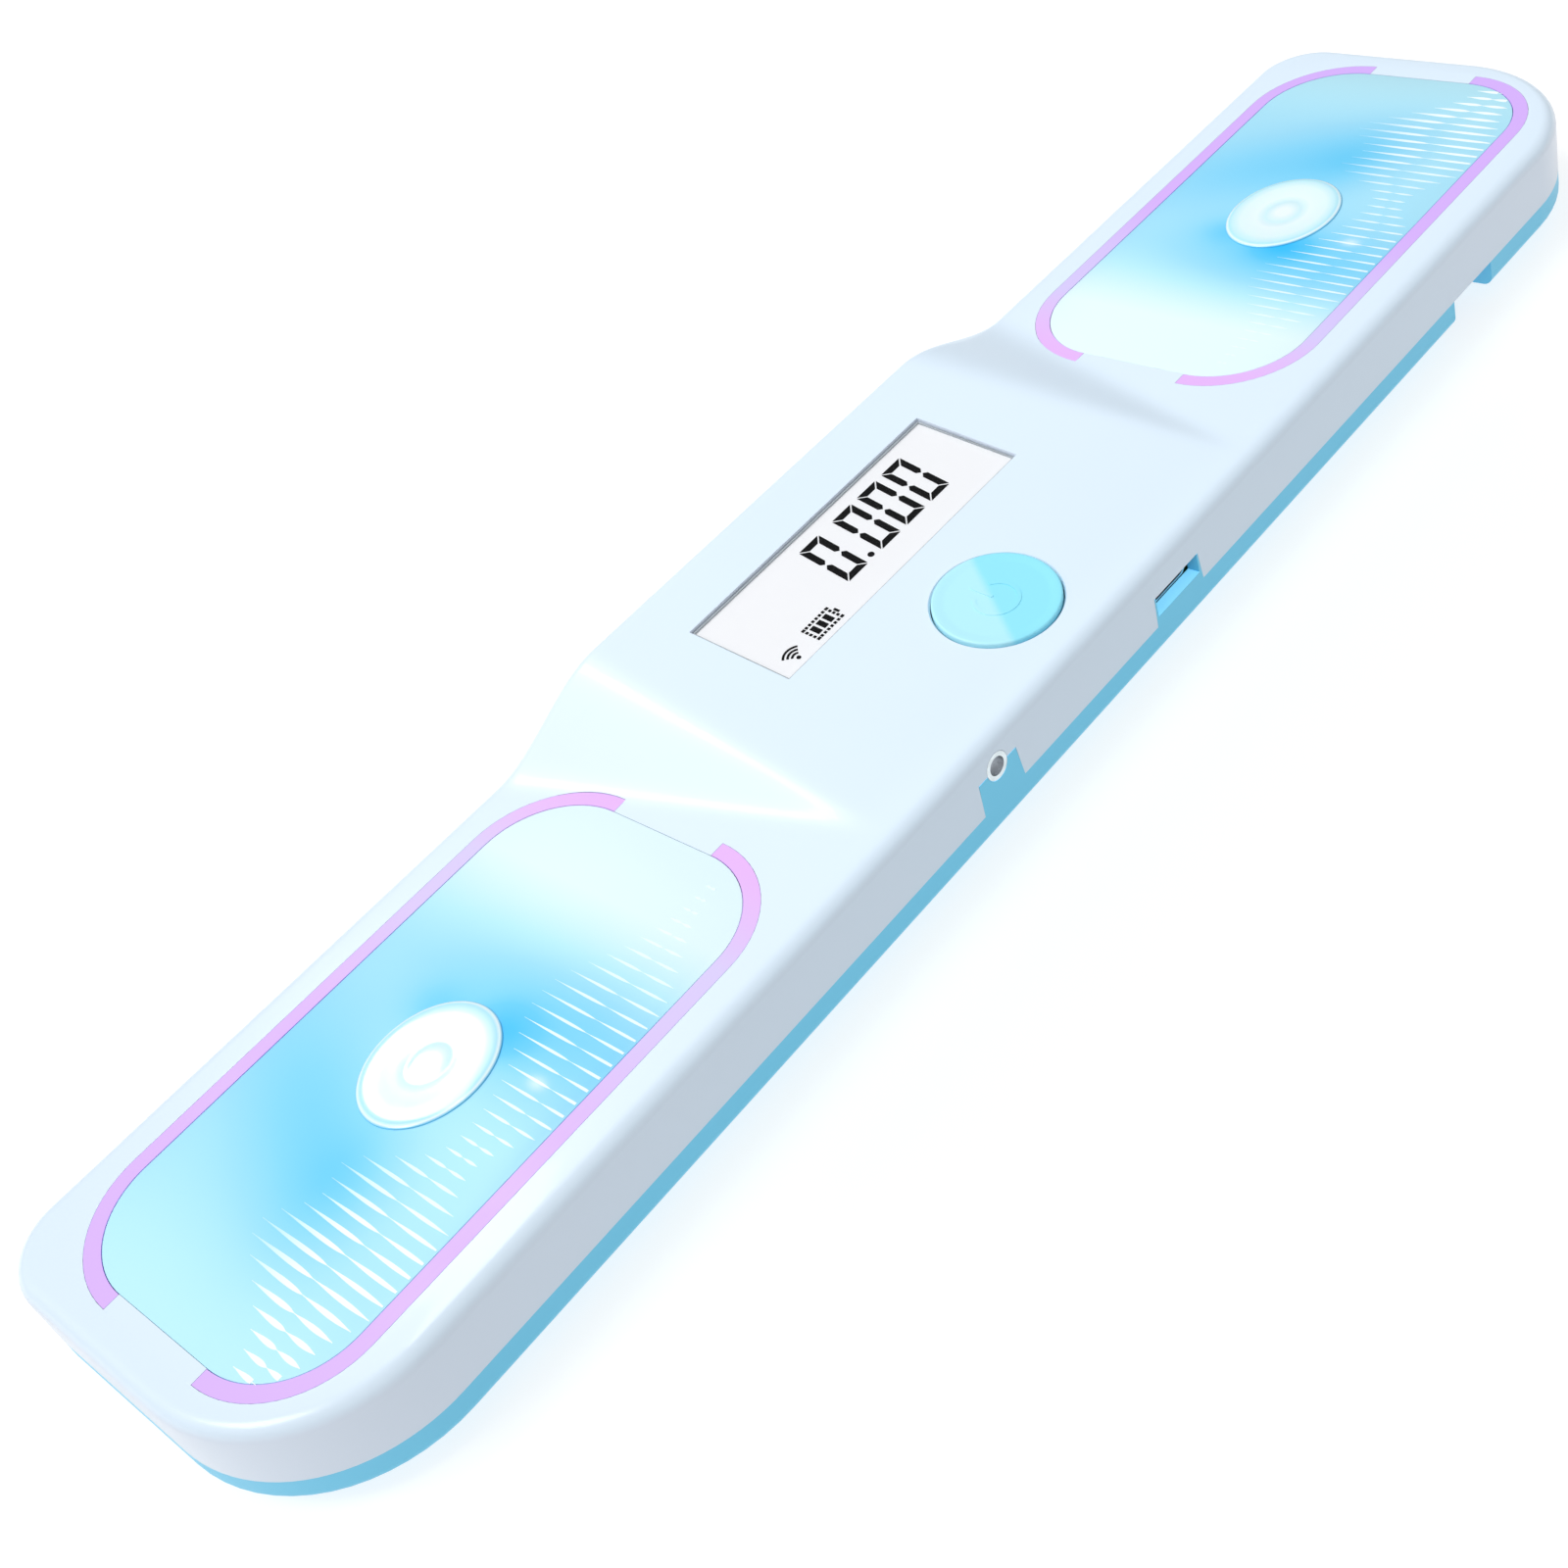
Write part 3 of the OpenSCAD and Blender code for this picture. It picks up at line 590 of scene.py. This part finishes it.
def shell_skin(inset, drop):
    """Wall and top of the upper shell's outer or inner skin, as points and faces.
    The middle is a grid of columns, and the ends are fillet rings with one flat face each."""
    edge = max(EDGE_R - inset, 0.4 * MM)
    arc = 8
    grid_x = 60 * MM
    columns = 121
    hx = HALF_L - inset
    hy = HALF_W - inset
    front_r = FRONT_R - inset
    back_r = BACK_R - inset
    top_z = DECK_Z - drop
    verts = []
    faces = []

    def point(x, y, z):
        verts.append(Vector((x, y, z)))
        return len(verts) - 1

    def rim(x, y, nx, ny):
        """Column of points from the wall's foot over the fillet, at one place of the outline."""
        line = [point(x, y, PARTING_Z), point(x, y, PARTING_Z + 1.5 * MM)]
        for k in range(arc + 1):
            a = math.pi / 2 * k / arc
            step = edge * (1 - math.cos(a))
            px, py = x - nx * step, y - ny * step
            line.append(point(px, py, top_z + deck_rise(px, py) - edge * (1 - math.sin(a))))
        return line

    def strip(a, b):
        for k in range(len(a) - 1):
            faces.append((a[k], b[k], b[k + 1], a[k + 1]))

    rows = 48
    previous = None
    first = None
    for c in range(columns):
        x = -grid_x + 2 * grid_x * c / (columns - 1)
        front = rim(x, -hy, 0, -1)
        back = rim(x, hy, 0, 1)
        y0 = -hy + edge
        y1 = hy - edge
        inner = []
        for r in range(1, rows):
            y = y0 + (y1 - y0) * r / rows
            inner.append(point(x, y, top_z + deck_rise(x, y)))
        column = front + inner + back[::-1]
        if previous:
            for k in range(len(column) - 1):
                faces.append((previous[k], column[k], column[k + 1], previous[k + 1]))
        else:
            first = column
        previous = column

    def end(side, column):
        """Fillet ring and flat top of one end."""
        ring = []
        corners = ((hx - front_r, -hy + front_r, front_r, -90, 0), (hx - back_r, hy - back_r, back_r, 0, 90))
        for cx, cy, radius, start, stop in corners:
            steps = 24
            for k in range(steps + 1):
                a = math.radians(start + (stop - start) * k / steps)
                ring.append(rim(side * (cx + radius * math.cos(a)), cy + radius * math.sin(a),
                                side * math.cos(a), math.sin(a)))
        front = column[:arc + 3]
        back = column[-(arc + 3):][::-1]
        lines = [front] + ring + [back]
        for a, b in zip(lines, lines[1:]):
            if side > 0:
                strip(a, b)
            else:
                strip(b, a)
        top = [line[-1] for line in lines] + list(reversed(column[arc + 3:-(arc + 3)]))
        faces.append(tuple(top) if side > 0 else tuple(reversed(top)))

    end(1, previous)
    end(-1, first)
    return verts, faces


def shell_solid():
    """Upper shell as one closed solid: outer skin, inner skin and a rim between them."""
    bm = bmesh.new()
    for inset, drop in ((0.0, 0.0), (WALL, WALL)):
        verts, faces = shell_skin(inset, drop)
        made = [bm.verts.new(v) for v in verts]
        for face in faces:
            loop = [made[i] for i in face]
            if inset:
                loop.reverse()
            bm.faces.new(loop)
    bmesh.ops.remove_doubles(bm, verts=bm.verts, dist=1e-7)
    open_edges = [e for e in bm.edges if e.is_boundary]
    bmesh.ops.bridge_loops(bm, edges=open_edges)
    bmesh.ops.recalc_face_normals(bm, faces=bm.faces)
    mesh = bpy.data.meshes.new("upper_shell")
    bm.to_mesh(mesh)
    bm.free()
    obj = bpy.data.objects.new("upper_shell", mesh)
    bpy.context.scene.collection.objects.link(obj)
    return obj


def deck_tool(verts, faces):
    """A cutter given in the tilted deck's frame."""
    return tool_object(verts, faces, DECK_FRAME)


def window_tools():
    """Window opening with walls that lean in, and the pocket for the display behind it."""
    low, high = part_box("display_window")
    inverse = DECK_FRAME.inverted()
    centre_x = (low.x + high.x) / 2
    half_l = (high.x - low.x) / 2 + GAP
    ups = [(inverse @ v.co).y for v in nodes["display_window"].data.vertices]
    centre_v = (min(ups) + max(ups)) / 2
    half_w = (max(ups) - min(ups)) / 2 + GAP
    lean = 0.08 * MM
    verts = []
    for z, grow in ((-6 * MM, 0), (-0.2 * MM, 0), (0.02 * MM, lean), (3 * MM, lean)):
        for sx, sy in ((-1, -1), (1, -1), (1, 1), (-1, 1)):
            verts.append((centre_x + sx * (half_l + grow), centre_v + sy * (half_w + grow), z))
    faces = [(3, 2, 1, 0), (12, 13, 14, 15)]
    for layer in range(3):
        for k in range(4):
            a, b = layer * 4 + k, layer * 4 + (k + 1) % 4
            faces.append((a, b, b + 4, a + 4))
    return deck_tool(verts, faces)


def button_centre():
    """Place of the button on the tilted deck, over its plunger."""
    low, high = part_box("switch_plunger")
    inverse = DECK_FRAME.inverted()
    return inverse @ ((low + high) / 2)


button_low, button_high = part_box("power_button")
BUTTON_R = (button_high.x - button_low.x) / 2
BORE_R = BUTTON_R + 0.15 * MM
BORE_RIM = BUTTON_R + 0.4 * MM
TRIM_W = 2.2 * MM


def build_upper_shell():
    """Upper shell with recesses for the pads and bands, the window, the button's bore and the front cuts."""
    obj = shell_solid()
    trim_low, trim_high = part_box("right_back_trim")
    trim_half_l = (trim_high.x - trim_low.x) / 2 + GAP / 2
    recess = DECK_Z - 1 * MM
    tools = []
    for side in (-1, 1):
        outline = rounded_outline(PAD_HALF_L + GAP, PAD_HALF_W + GAP, PAD_R, 16)
        outer = rounded_outline(trim_half_l, trim_high.y + GAP / 2, PAD_R + TRIM_W, 16)
        verts, faces = prism([(x + side * PAD_X, y) for x, y in outline], recess, DECK_Z + 3 * MM)
        tools.append(tool_object(verts, faces))
        gap_y = trim_low.y - GAP / 2
        for half in (-1, 1):
            piece = []
            for x, y in outer:
                piece.append((x + side * PAD_X, max(y, gap_y) if half > 0 else min(y, -gap_y)))
            cleaned = [p for i, p in enumerate(piece) if math.dist(p, piece[i - 1]) > 1e-7]
            verts, faces = prism(cleaned, recess, DECK_Z + 3.01 * MM)
            tools.append(tool_object(verts, faces))
    tools.append(window_tools())
    centre = button_centre()
    verts, faces = lathe([(0, -8 * MM), (BORE_R, -8 * MM), (BORE_R, -0.35 * MM),
                          (BORE_RIM, 0.02 * MM), (BORE_RIM, 4 * MM), (0, 4 * MM)])
    shift = DECK_FRAME @ Matrix.Translation((centre.x, centre.y, 0))
    tools.append(tool_object(verts, faces, shift))
    tools += front_tools()
    cut(obj, tools)
    smooth_by_angle(obj, 30)
    dress(obj, "white_shell")
    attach(obj, "housing")
    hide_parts("top_shell")
    return obj


# Tongues of the lower shell in the front wall: centre, half width at the foot and height of the top
jack_low, jack_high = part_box("jack_barrel")
JACK = (jack_low + jack_high) / 2
JACK_R = (jack_high.x - jack_low.x) / 2
usb_low, usb_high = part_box("usb_receptacle")
USB_X = (usb_low.x + usb_high.x) / 2
TONGUES = (
    (JACK.x, 4.1 * MM, JACK.z - 0.2 * MM),
    (USB_X, 5.3 * MM, DECK_Z - 5.1 * MM),
)


def front_tools():
    """Cutters of the front wall: a tapered cut for each tongue, and the round socket's hole."""
    tools = []
    clear = 0.06 * MM
    taper = 0.4 * MM
    hole_r = JACK_R + 0.05 * MM
    y0, y1 = -HALF_W - 1 * MM, -HALF_W + WALL + 0.5 * MM
    foot = PARTING_Z - 1 * MM
    for x, half, top in TONGUES:
        shape = [(x - half - clear, foot), (x + half + clear, foot),
                 (x + half - taper + clear, top + clear), (x - half + taper - clear, top + clear)]
        verts = [(px, y0, pz) for px, pz in shape] + [(px, y1, pz) for px, pz in shape]
        faces = [(0, 1, 2, 3), (7, 6, 5, 4)]
        faces += [(k, (k + 1) % 4, 4 + (k + 1) % 4, 4 + k) for k in range(4)]
        tools.append(tool_object(verts, faces))
    verts, faces = lathe([(0, -1 * MM), (hole_r, -1 * MM), (hole_r, 4 * MM), (0, 4 * MM)], 64)
    place = Matrix.Translation((JACK.x, -HALF_W, JACK.z)) @ Matrix.Rotation(-math.pi / 2, 4, "X")
    tools.append(tool_object(verts, faces, place))
    return tools


# ---------------------------------------------------------------- pads
def build_pad(name):
    """Printed panel with a soft top edge."""
    low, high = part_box(name)
    centre_x = (low.x + high.x) / 2
    soft = 0.12 * MM
    layers = ((0.0, low.z), (0.0, high.z - soft), (0.04 * MM, high.z - 0.03 * MM), (soft, high.z))
    verts = []
    faces = []
    n = 0
    for inset, z in layers:
        grow = 0.07 * MM - inset
        outline = rounded_outline(PAD_HALF_L + grow, PAD_HALF_W + grow, PAD_R - GAP + grow, 20)
        n = len(outline)
        verts += [(x + centre_x, y, z) for x, y in outline]
    for layer in range(len(layers) - 1):
        for k in range(n):
            a, b = layer * n + k, layer * n + (k + 1) % n
            faces.append((a, b, b + n, a + n))
    faces.append(tuple(reversed(range(n))))
    faces.append(tuple(range(3 * n, 4 * n)))
    obj = make_object(name + "_panel", verts, faces, "pad_print")
    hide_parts(name)
    return obj


STROKES = 39
STROKE_PITCH = 1.943 * MM
STROKE_START = 128.3 * MM


def hill(i, centre, width):
    """Bell curve of height 1."""
    return math.exp(-((i - centre) / width) ** 2)


def spindle(t, bulge):
    """Relative width at t from 0 to 1 along a spindle that is widest at bulge, never quite 0."""
    if not 0 < t < 1:
        return 0.12
    return max(math.sin(math.pi * t ** (math.log(0.5) / math.log(bulge))) ** 1.1, 0.12)


def stroke_reach(i):
    """Front end, neck and back end of stroke i, in metres: an uneven wave along the pad."""
    back = -11.4 + 12.8 * hill(i, 6.8, 3.7) + 8.6 * hill(i, 12.3, 2.2) + 7 * hill(i, 27, 5)
    front = -23 + 5.2 * hill(i, 2, 5) + 6.9 * hill(i, 15.7, 4) + 10 * hill(i, 38, 7.5)
    neck = front + (back - front) * 0.47
    return front * MM, neck * MM, back * MM


def pad_front_edge(x):
    """Y of the panel's front edge at a distance x from its middle."""
    corner = max(0.0, abs(x) - (PAD_HALF_L - PAD_R))
    return -(PAD_HALF_W - PAD_R) - math.sqrt(max(PAD_R ** 2 - corner ** 2, 0.0))


def build_strokes(side, name):
    """Thin double spindles along Y in the front half of a pad, printed in white."""
    top, foot = DECK_Z + 0.02 * MM, DECK_Z - 0.02 * MM
    verts = []
    faces = []
    for i in range(STROKES):
        x = STROKE_START - i * STROKE_PITCH
        front, neck, back = stroke_reach(i)
        edge = pad_front_edge(x - PAD_X) + 0.25 * MM
        width = (0.66 - 0.30 * min(1.0, max(0.0, (i - 4) / 12))) * MM
        for low, high, bulge in ((front, neck, 0.45), (neck, back, 0.32)):
            start = len(verts)
            y0 = max(low, edge)
            steps = 14
            for k in range(steps + 1):
                y = y0 + (high - y0) * k / steps
                t = (y - low) / (high - low)
                half = width / 2 * spindle(t, bulge)
                verts += [(side * (x - half), y, top), (side * (x + half), y, top),
                          (side * (x - half), y, foot), (side * (x + half), y, foot)]
            for k in range(steps):
                a = start + 4 * k
                b = a + 4
                faces += [(a, a + 1, b + 1, b), (a + 3, a + 2, b + 2, b + 3),
                          (a + 2, a, b, b + 2), (a + 1, a + 3, b + 3, b + 1)]
            end = start + 4 * steps
            faces += [(start + 2, start + 3, start + 1, start), (end, end + 1, end + 3, end + 2)]
    obj = make_object(name, verts, faces, "stroke_ink", smooth=False)
    outward(obj)
    return obj


def build_disc(side, name):
    """Glossy disc: rounded rim, slightly dished face and a faint ring."""
    r = DISC_R
    top = DISC_H
    rim = 0.08 * MM
    bevel = 1.1 * MM
    stem = r - 2.2 * MM
    profile = [(0, -0.9 * MM), (stem, -0.9 * MM), (stem, 0.0), (r - 0.02 * MM, 0.0), (r, rim)]
    for k in range(1, 9):
        a = math.pi / 2 * k / 8
        profile.append((r - bevel * (1 - math.cos(a)), rim + (top - rim) * math.sin(a)))
    ring_r = r * 0.33
    sink = 0.12 * MM
    steps = 40
    for k in range(1, steps):
        q = (r - bevel) * (1 - k / steps)
        dish = sink * smoothstep((r - bevel - q) / (4 * MM))
        groove = 0.05 * MM * hill(q, ring_r, 0.6 * MM)
        profile.append((q, top - dish - groove))
    profile.append((0, top - sink))
    verts, faces = lathe(profile, 128)
    placed = []
    for v in verts:
        oval = DISC_OVAL if math.hypot(v.x, v.y) > stem + 0.01 * MM or v.z > 0 else 1
        placed.append(Vector((side * PAD_X + v.x * oval, v.y, v.z + DECK_Z)))
    obj = make_object(name + "_turned", placed, faces, "disc_white")
    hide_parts(name)
    return obj


# ---------------------------------------------------------------- button
def arc_band(radius, half_width, start, stop, z0, z1, steps=40):
    """Raised bar along an arc, as points and faces."""
    verts = []
    faces = []
    inner, outer = radius - half_width, radius + half_width
    for k in range(steps + 1):
        a = math.radians(start + (stop - start) * k / steps)
        for r, z in ((inner, z0), (inner, z1), (outer, z1), (outer, z0)):
            verts.append((r * math.cos(a), r * math.sin(a), z))
    for k in range(steps):
        for j in range(4):
            a, b = 4 * k + j, 4 * k + (j + 1) % 4
            faces.append((a, b, b + 4, a + 4))
    faces.append((3, 2, 1, 0))
    faces.append(tuple(4 * steps + j for j in range(4)))
    return verts, faces


def build_button():
    """Push button with a raised rim, a dished face and an embossed power sign."""
    centre = button_centre()
    r = BUTTON_R
    proud = 0.4 * MM
    face = 0.26 * MM
    edge = 0.28 * MM
    skirt = r - 1.2 * MM
    profile = [(0, -1.6 * MM), (skirt, -1.6 * MM), (skirt, -2.6 * MM), (r, -2.6 * MM), (r, proud - edge)]
    for k in range(1, 7):
        a = math.pi / 2 * k / 6
        profile.append((r - edge * (1 - math.cos(a)), proud - edge * (1 - math.sin(a))))
    for k in range(1, 13):
        t = k / 12
        profile.append((r - edge - 1.6 * MM * t, proud - (proud - face) * smoothstep(t)))
    profile.append((r * 0.5, face - 0.02 * MM))
    profile.append((0, face - 0.03 * MM))
    verts, faces = lathe(profile, 160)
    place = DECK_FRAME @ Matrix.Translation((centre.x, centre.y, 0))
    obj = make_object("push_button", [place @ v for v in verts], faces, "button_blue", "button")
    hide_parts("power_button")
    sign_z0, sign_z1 = face - 0.1 * MM, face + 0.05 * MM
    line = 0.28 * MM
    verts, faces = arc_band(2.9 * MM, line, 125, 415, sign_z0, sign_z1)
    sign = make_object("power_sign", [place @ Vector(v) for v in verts], faces, "button_blue", "button")
    outward(sign)
    verts, faces = prism(rounded_outline(line, 1.75 * MM, 0.26 * MM, 6), sign_z0, sign_z1)
    place_bar = place @ Matrix.Translation((0, 2.3 * MM, 0))
    points = [place_bar @ Vector(v) for v in verts]
    bar = make_object("power_bar", points, faces, "button_blue", "button")


# ---------------------------------------------------------------- display figures
GLASS_TOP = -0.65 * MM
FIGURE_T = 0.05 * MM


def flat_piece(name, shapes, body="housing"):
    """Thin printed shapes on the display glass, each an outline of (x, up the slope)."""
    verts = []
    faces = []
    for outline in shapes:
        v, f = prism(outline, GLASS_TOP, GLASS_TOP + FIGURE_T)
        faces += [tuple(i + len(verts) for i in face) for face in f]
        verts += [DECK_FRAME @ Vector(p) for p in v]
    obj = make_object(name, verts, faces, "display_ink", body, smooth=False)
    outward(obj)
    return obj


def round_spot(x, y, radius, steps):
    """Outline of a round spot."""
    turns = [2 * math.pi * k / steps for k in range(steps)]
    return [(x + radius * math.cos(a), y + radius * math.sin(a)) for a in turns]


def figure_shapes():
    """Four leaning noughts of six short bars each, and the point after the first."""
    inverse = DECK_FRAME.inverted()
    points = [inverse @ v.co for v in nodes["display_segments"].data.vertices]
    top = max(p.y for p in points)
    right = max(p.x for p in points)
    lean = math.tan(math.radians(6))
    cad_height = 10.1 * MM
    height = 9.5 * MM
    low_v = top - 0.3 * MM - height
    width = 3.05 * MM
    thick = 1.05 * MM
    gap = 0.16 * MM
    pitch = 5.38 * MM
    point_space = 1.65 * MM
    side_inset = 0.525 * MM
    point_x, point_y, point_r = 5.05 * MM, 0.7 * MM, 0.48 * MM
    first_x = right - side_inset - width - lean * cad_height - point_space - 3 * pitch
    shapes = []

    def bar(x, y, length, upright, outer, ends):
        """Bar whose ends are mitred at a corner (1) or pointed at the middle (0).
        Outer is 1 or -1, for the side that faces out of the nought."""
        h = thick / 2
        start, end = (-h if e else h for e in ends)
        line = [(start, h * outer), (0, 0), (h, -h * outer), (length - h, -h * outer), (length, 0),
                (length - end, h * outer)]
        if outer > 0:
            line.reverse()
        return [(x - b, y + a) if upright else (x + a, y + b) for a, b in line]

    for i in range(4):
        x0 = first_x + i * pitch + (point_space if i else 0)
        bars = []
        for y, outer in ((thick / 2, -1), (height - thick / 2, 1)):
            bars.append(bar(gap, y, width - 2 * gap, False, outer, (1, 1)))
        half = (height - thick) / 2
        for x, outer in ((0, 1), (width, -1)):
            for y, ends in ((thick / 2, (1, 0)), (thick / 2 + half, (0, 1))):
                bars.append(bar(x, y + gap, half - 2 * gap, True, outer, ends))
        for line in bars:
            shapes.append([(x0 + x + lean * y, low_v + y) for x, y in line])
    shapes.append(round_spot(first_x + point_x, low_v + point_y, point_r, 24))
    return shapes, low_v


def icon_shapes(low_v):
    """Battery sign with a dashed outline and three bars, and a generic radio sign of arcs."""
    window_low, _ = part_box("display_window")
    x0 = window_low.x + 7.6 * MM
    v0 = low_v - 3.5 * MM
    length, height, line = 5.1 * MM, 3.1 * MM, 0.42 * MM
    shapes = []

    def rect(x, y, w, h):
        shapes.append([(x, y), (x + w, y), (x + w, y + h), (x, y + h)])

    dashes = 8
    for k in range(dashes):
        step = (length - line) / (dashes - 1)
        for y in (0, height - line):
            rect(x0 + k * step, v0 + y, line if k % 7 else line * 1.3, line)
    for k in range(1, 4):
        step = (height - line) / 4
        for x in (0, length - line):
            rect(x0 + x, v0 + k * step, line, line)
    tip_h = 0.9 * MM
    rect(x0 + length + 0.15 * MM, v0 + height / 2 - tip_h / 2, 0.4 * MM, tip_h)
    bar_w = 0.85 * MM
    margin = 0.75 * MM
    for k in range(3):
        rect(x0 + bar_w + k * 1.25 * MM, v0 + margin, bar_w, height - 2 * margin)
    radio_x, radio_v = x0 - 3.7 * MM, v0 + 0.35 * MM
    half_line = 0.16 * MM
    for radius in (0.85 * MM, 1.45 * MM, 2.05 * MM):
        arc = []
        for r, order in ((radius - half_line, range(13)), (radius + half_line, range(12, -1, -1))):
            for k in order:
                a = math.radians(45 + 90 * k / 12)
                arc.append((radio_x + r * math.cos(a), radio_v + r * math.sin(a)))
        shapes.append(arc)
    shapes.append(round_spot(radio_x, radio_v, 2 * half_line, 20))
    return shapes


def build_figures():
    """Figures that replace the CAD ones, and the signs beside them."""
    shapes, low_v = figure_shapes()
    figures = flat_piece("display_figures", shapes)
    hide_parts("display_segments")
    flat_piece("display_icons", icon_shapes(low_v))


# ---------------------------------------------------------------- feet and screws
def build_foot(i):
    """Rubber foot with a rounded edge and three grip grooves."""
    node = "foot_pad_%d" % i
    low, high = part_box(node)
    r = (high.x - low.x) / 2
    centre = Vector(((low.x + high.x) / 2, (low.y + high.y) / 2, 0))
    edge = 0.55 * MM
    profile = [(0, high.z), (r, high.z), (r, edge)]
    for k in range(1, 7):
        a = math.pi / 2 * k / 6
        profile.append((r - edge * (1 - math.cos(a)), edge * (1 - math.sin(a))))
    for groove in (0.72, 0.48, 0.24):
        q = r * groove
        for dr, z in ((0.5, 0), (0.25, 0.35), (-0.25, 0.35), (-0.5, 0)):
            profile.append((q + dr * MM, z * MM))
    profile.append((0, 0))
    profile.reverse()
    verts, faces = lathe(profile, 72)
    points = [v + centre for v in verts]
    obj = make_object("foot_rubber_%d" % i, points, faces, "foot_rubber", "foot_%d" % i)
    outward(obj)
    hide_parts(node)


def build_screws():
    """Pan heads with a round recess, and their shanks, where the CAD screws stand."""
    low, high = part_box("shell_screws")
    clusters = []
    for v in nodes["shell_screws"].data.vertices:
        if v.co.z < low.z + 0.01 * MM:
            for cluster in clusters:
                if math.dist(v.co.xy, cluster[0].xy) < 5 * MM:
                    cluster.append(v.co.copy())
                    break
            else:
                clusters.append([v.co.copy()])
    recess_r, head_r, shank_r = 0.5 * MM, 1.9 * MM, 0.9 * MM
    profile = [(0, low.z + 0.5 * MM), (recess_r, low.z + 0.5 * MM), (0.75 * MM, low.z),
               (1.5 * MM, low.z + 0.05 * MM), (1.85 * MM, low.z + 0.4 * MM), (head_r, low.z + 1.0 * MM),
               (shank_r, low.z + 1.1 * MM), (shank_r, high.z), (0, high.z)]
    verts = []
    faces = []
    for cluster in clusters:
        x = (min(p.x for p in cluster) + max(p.x for p in cluster)) / 2
        y = (min(p.y for p in cluster) + max(p.y for p in cluster)) / 2
        v, f = lathe(profile, 32)
        faces += [tuple(i + len(verts) for i in face) for face in f]
        verts += [p + Vector((x, y, 0)) for p in v]
    obj = make_object("case_screws", verts, faces, "bright_steel")
    outward(obj)
    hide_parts("shell_screws")


# ---------------------------------------------------------------- dress the CAD nodes that stay
def dress_nodes():
    """Each CAD node takes its slot's material, and the round socket's body a lighter grey one that glows as
    painted light inside the socket.
    """
    for row in frame["record"]["subparts"]:
        dress(nodes[row["node"]], row["material_slot"])
    dress(nodes["jack_body"], "socket_grey")


# ---------------------------------------------------------------- stage
def build_stage():
    """White floor with a faint cyan glow painted in front of the bar."""
    size = 3.0
    mesh = bpy.data.meshes.new("floor")
    corners = [(-size, -size, 0), (size, -size, 0), (size, size, 0), (-size, size, 0)]
    mesh.from_pydata(corners, [], [(0, 1, 2, 3)])
    floor = bpy.data.objects.new("floor", mesh)
    bpy.context.scene.collection.objects.link(floor)
    mat, tree, shader = new_material("floor_white")
    graph = Graph(tree)
    # Painted light: a faint cyan tint of the floor's colour and emission in front of the bar, standing in
    # for light coloured by the blue bar.
    near = graph.ramp(graph.y, -22 * MM, -45 * MM)
    glow = graph.math("MULTIPLY", graph.ramp(graph.y, -150 * MM, -45 * MM), near)
    glow = graph.math("MULTIPLY", glow, graph.ramp(graph.math("ABSOLUTE", graph.x), 150 * MM, 60 * MM))
    colour = graph.mix(glow, (1, 1, 1, 1), srgb(243, 254, 255))
    graph.put(shader.inputs["Base Color"], graph.mix(0.66, colour, (0, 0, 0, 1)))
    graph.put(shader.inputs["Emission Color"], colour)
    shader.inputs["Emission Strength"].default_value = 0.74
    shader.inputs["Roughness"].default_value = 1.0
    shader.inputs["Specular IOR Level"].default_value = 0.0
    floor.data.materials.append(mat)


def area_light(name, location, target, size, power):
    """Rectangular lamp that faces its target."""
    data = bpy.data.lights.new(name, "AREA")
    data.shape = "RECTANGLE"
    data.size = size[0]
    data.size_y = size[1]
    data.energy = power
    obj = bpy.data.objects.new(name, data)
    obj.location = location
    direction = Vector(target) - Vector(location)
    obj.rotation_euler = direction.to_track_quat("-Z", "Y").to_euler()
    bpy.context.scene.collection.objects.link(obj)


def build_lights():
    """Dome that is bright overhead and dim near the horizon, a key and a strip behind the bar."""
    world = bpy.data.worlds.new("studio")
    bpy.context.scene.world = world
    world.use_nodes = True
    tree = world.node_tree
    background = tree.nodes["Background"]
    graph = Graph(tree)
    tree.links.new(graph.coord.outputs["Generated"], graph.split.inputs[0])
    dome = graph.ramp(graph.z, 0.05, 0.6, 0.28, 0.76)
    side = graph.ramp(graph.x, -0.5, 0.8, 1.08, 0.8)
    graph.put(background.inputs["Strength"], graph.math("MULTIPLY", dome, side))
    background.inputs["Color"].default_value = (0.98, 0.99, 1.0, 1)
    area_light("key", (-1.9, 0.9, 3.3), (0, 0, 0), (1.6, 1.6), 57)
    area_light("band", (0.02, 0.33, 0.6), (-0.02, 0, 0.02), (0.08, 0.5), 0.9)


def build_camera():
    """Camera near the left front of the bar, close to it, with a slight roll."""
    data = bpy.data.cameras.new("camera")
    data.sensor_width = 36
    data.lens = 48.8
    data.clip_start = 0.01
    data.clip_end = 20
    azimuth, elevation, roll = (math.radians(v) for v in (-34.30, 40.94, -21.46))
    level = math.cos(elevation)
    back = Vector((math.sin(azimuth) * level, -math.cos(azimuth) * level, math.sin(elevation)))
    right = Vector((math.cos(azimuth), math.sin(azimuth), 0))
    up = back.cross(right)
    rolled_right = right * math.cos(roll) + up * math.sin(roll)
    rolled_up = up * math.cos(roll) - right * math.sin(roll)
    turn = Matrix((rolled_right, rolled_up, back)).transposed().to_4x4()
    camera = bpy.data.objects.new("camera", data)
    place = (-146.62 * MM, -169.19 * MM, 168.34 * MM + DECK_Z)
    camera.matrix_world = Matrix.Translation(place) @ turn
    bpy.context.scene.collection.objects.link(camera)
    bpy.context.scene.camera = camera


build_camera()
build_lights()
build_stage()
bpy.context.scene.view_settings.view_transform = "Standard"
dress_nodes()
build_upper_shell()
for side, word in ((-1, "left"), (1, "right")):
    build_pad(word + "_pad")
    build_strokes(side, word + "_strokes")
    build_disc(side, word + "_disc")
build_button()
build_figures()
for number in range(1, 5):
    build_foot(number)
build_screws()

bpy.context.view_layer.update()
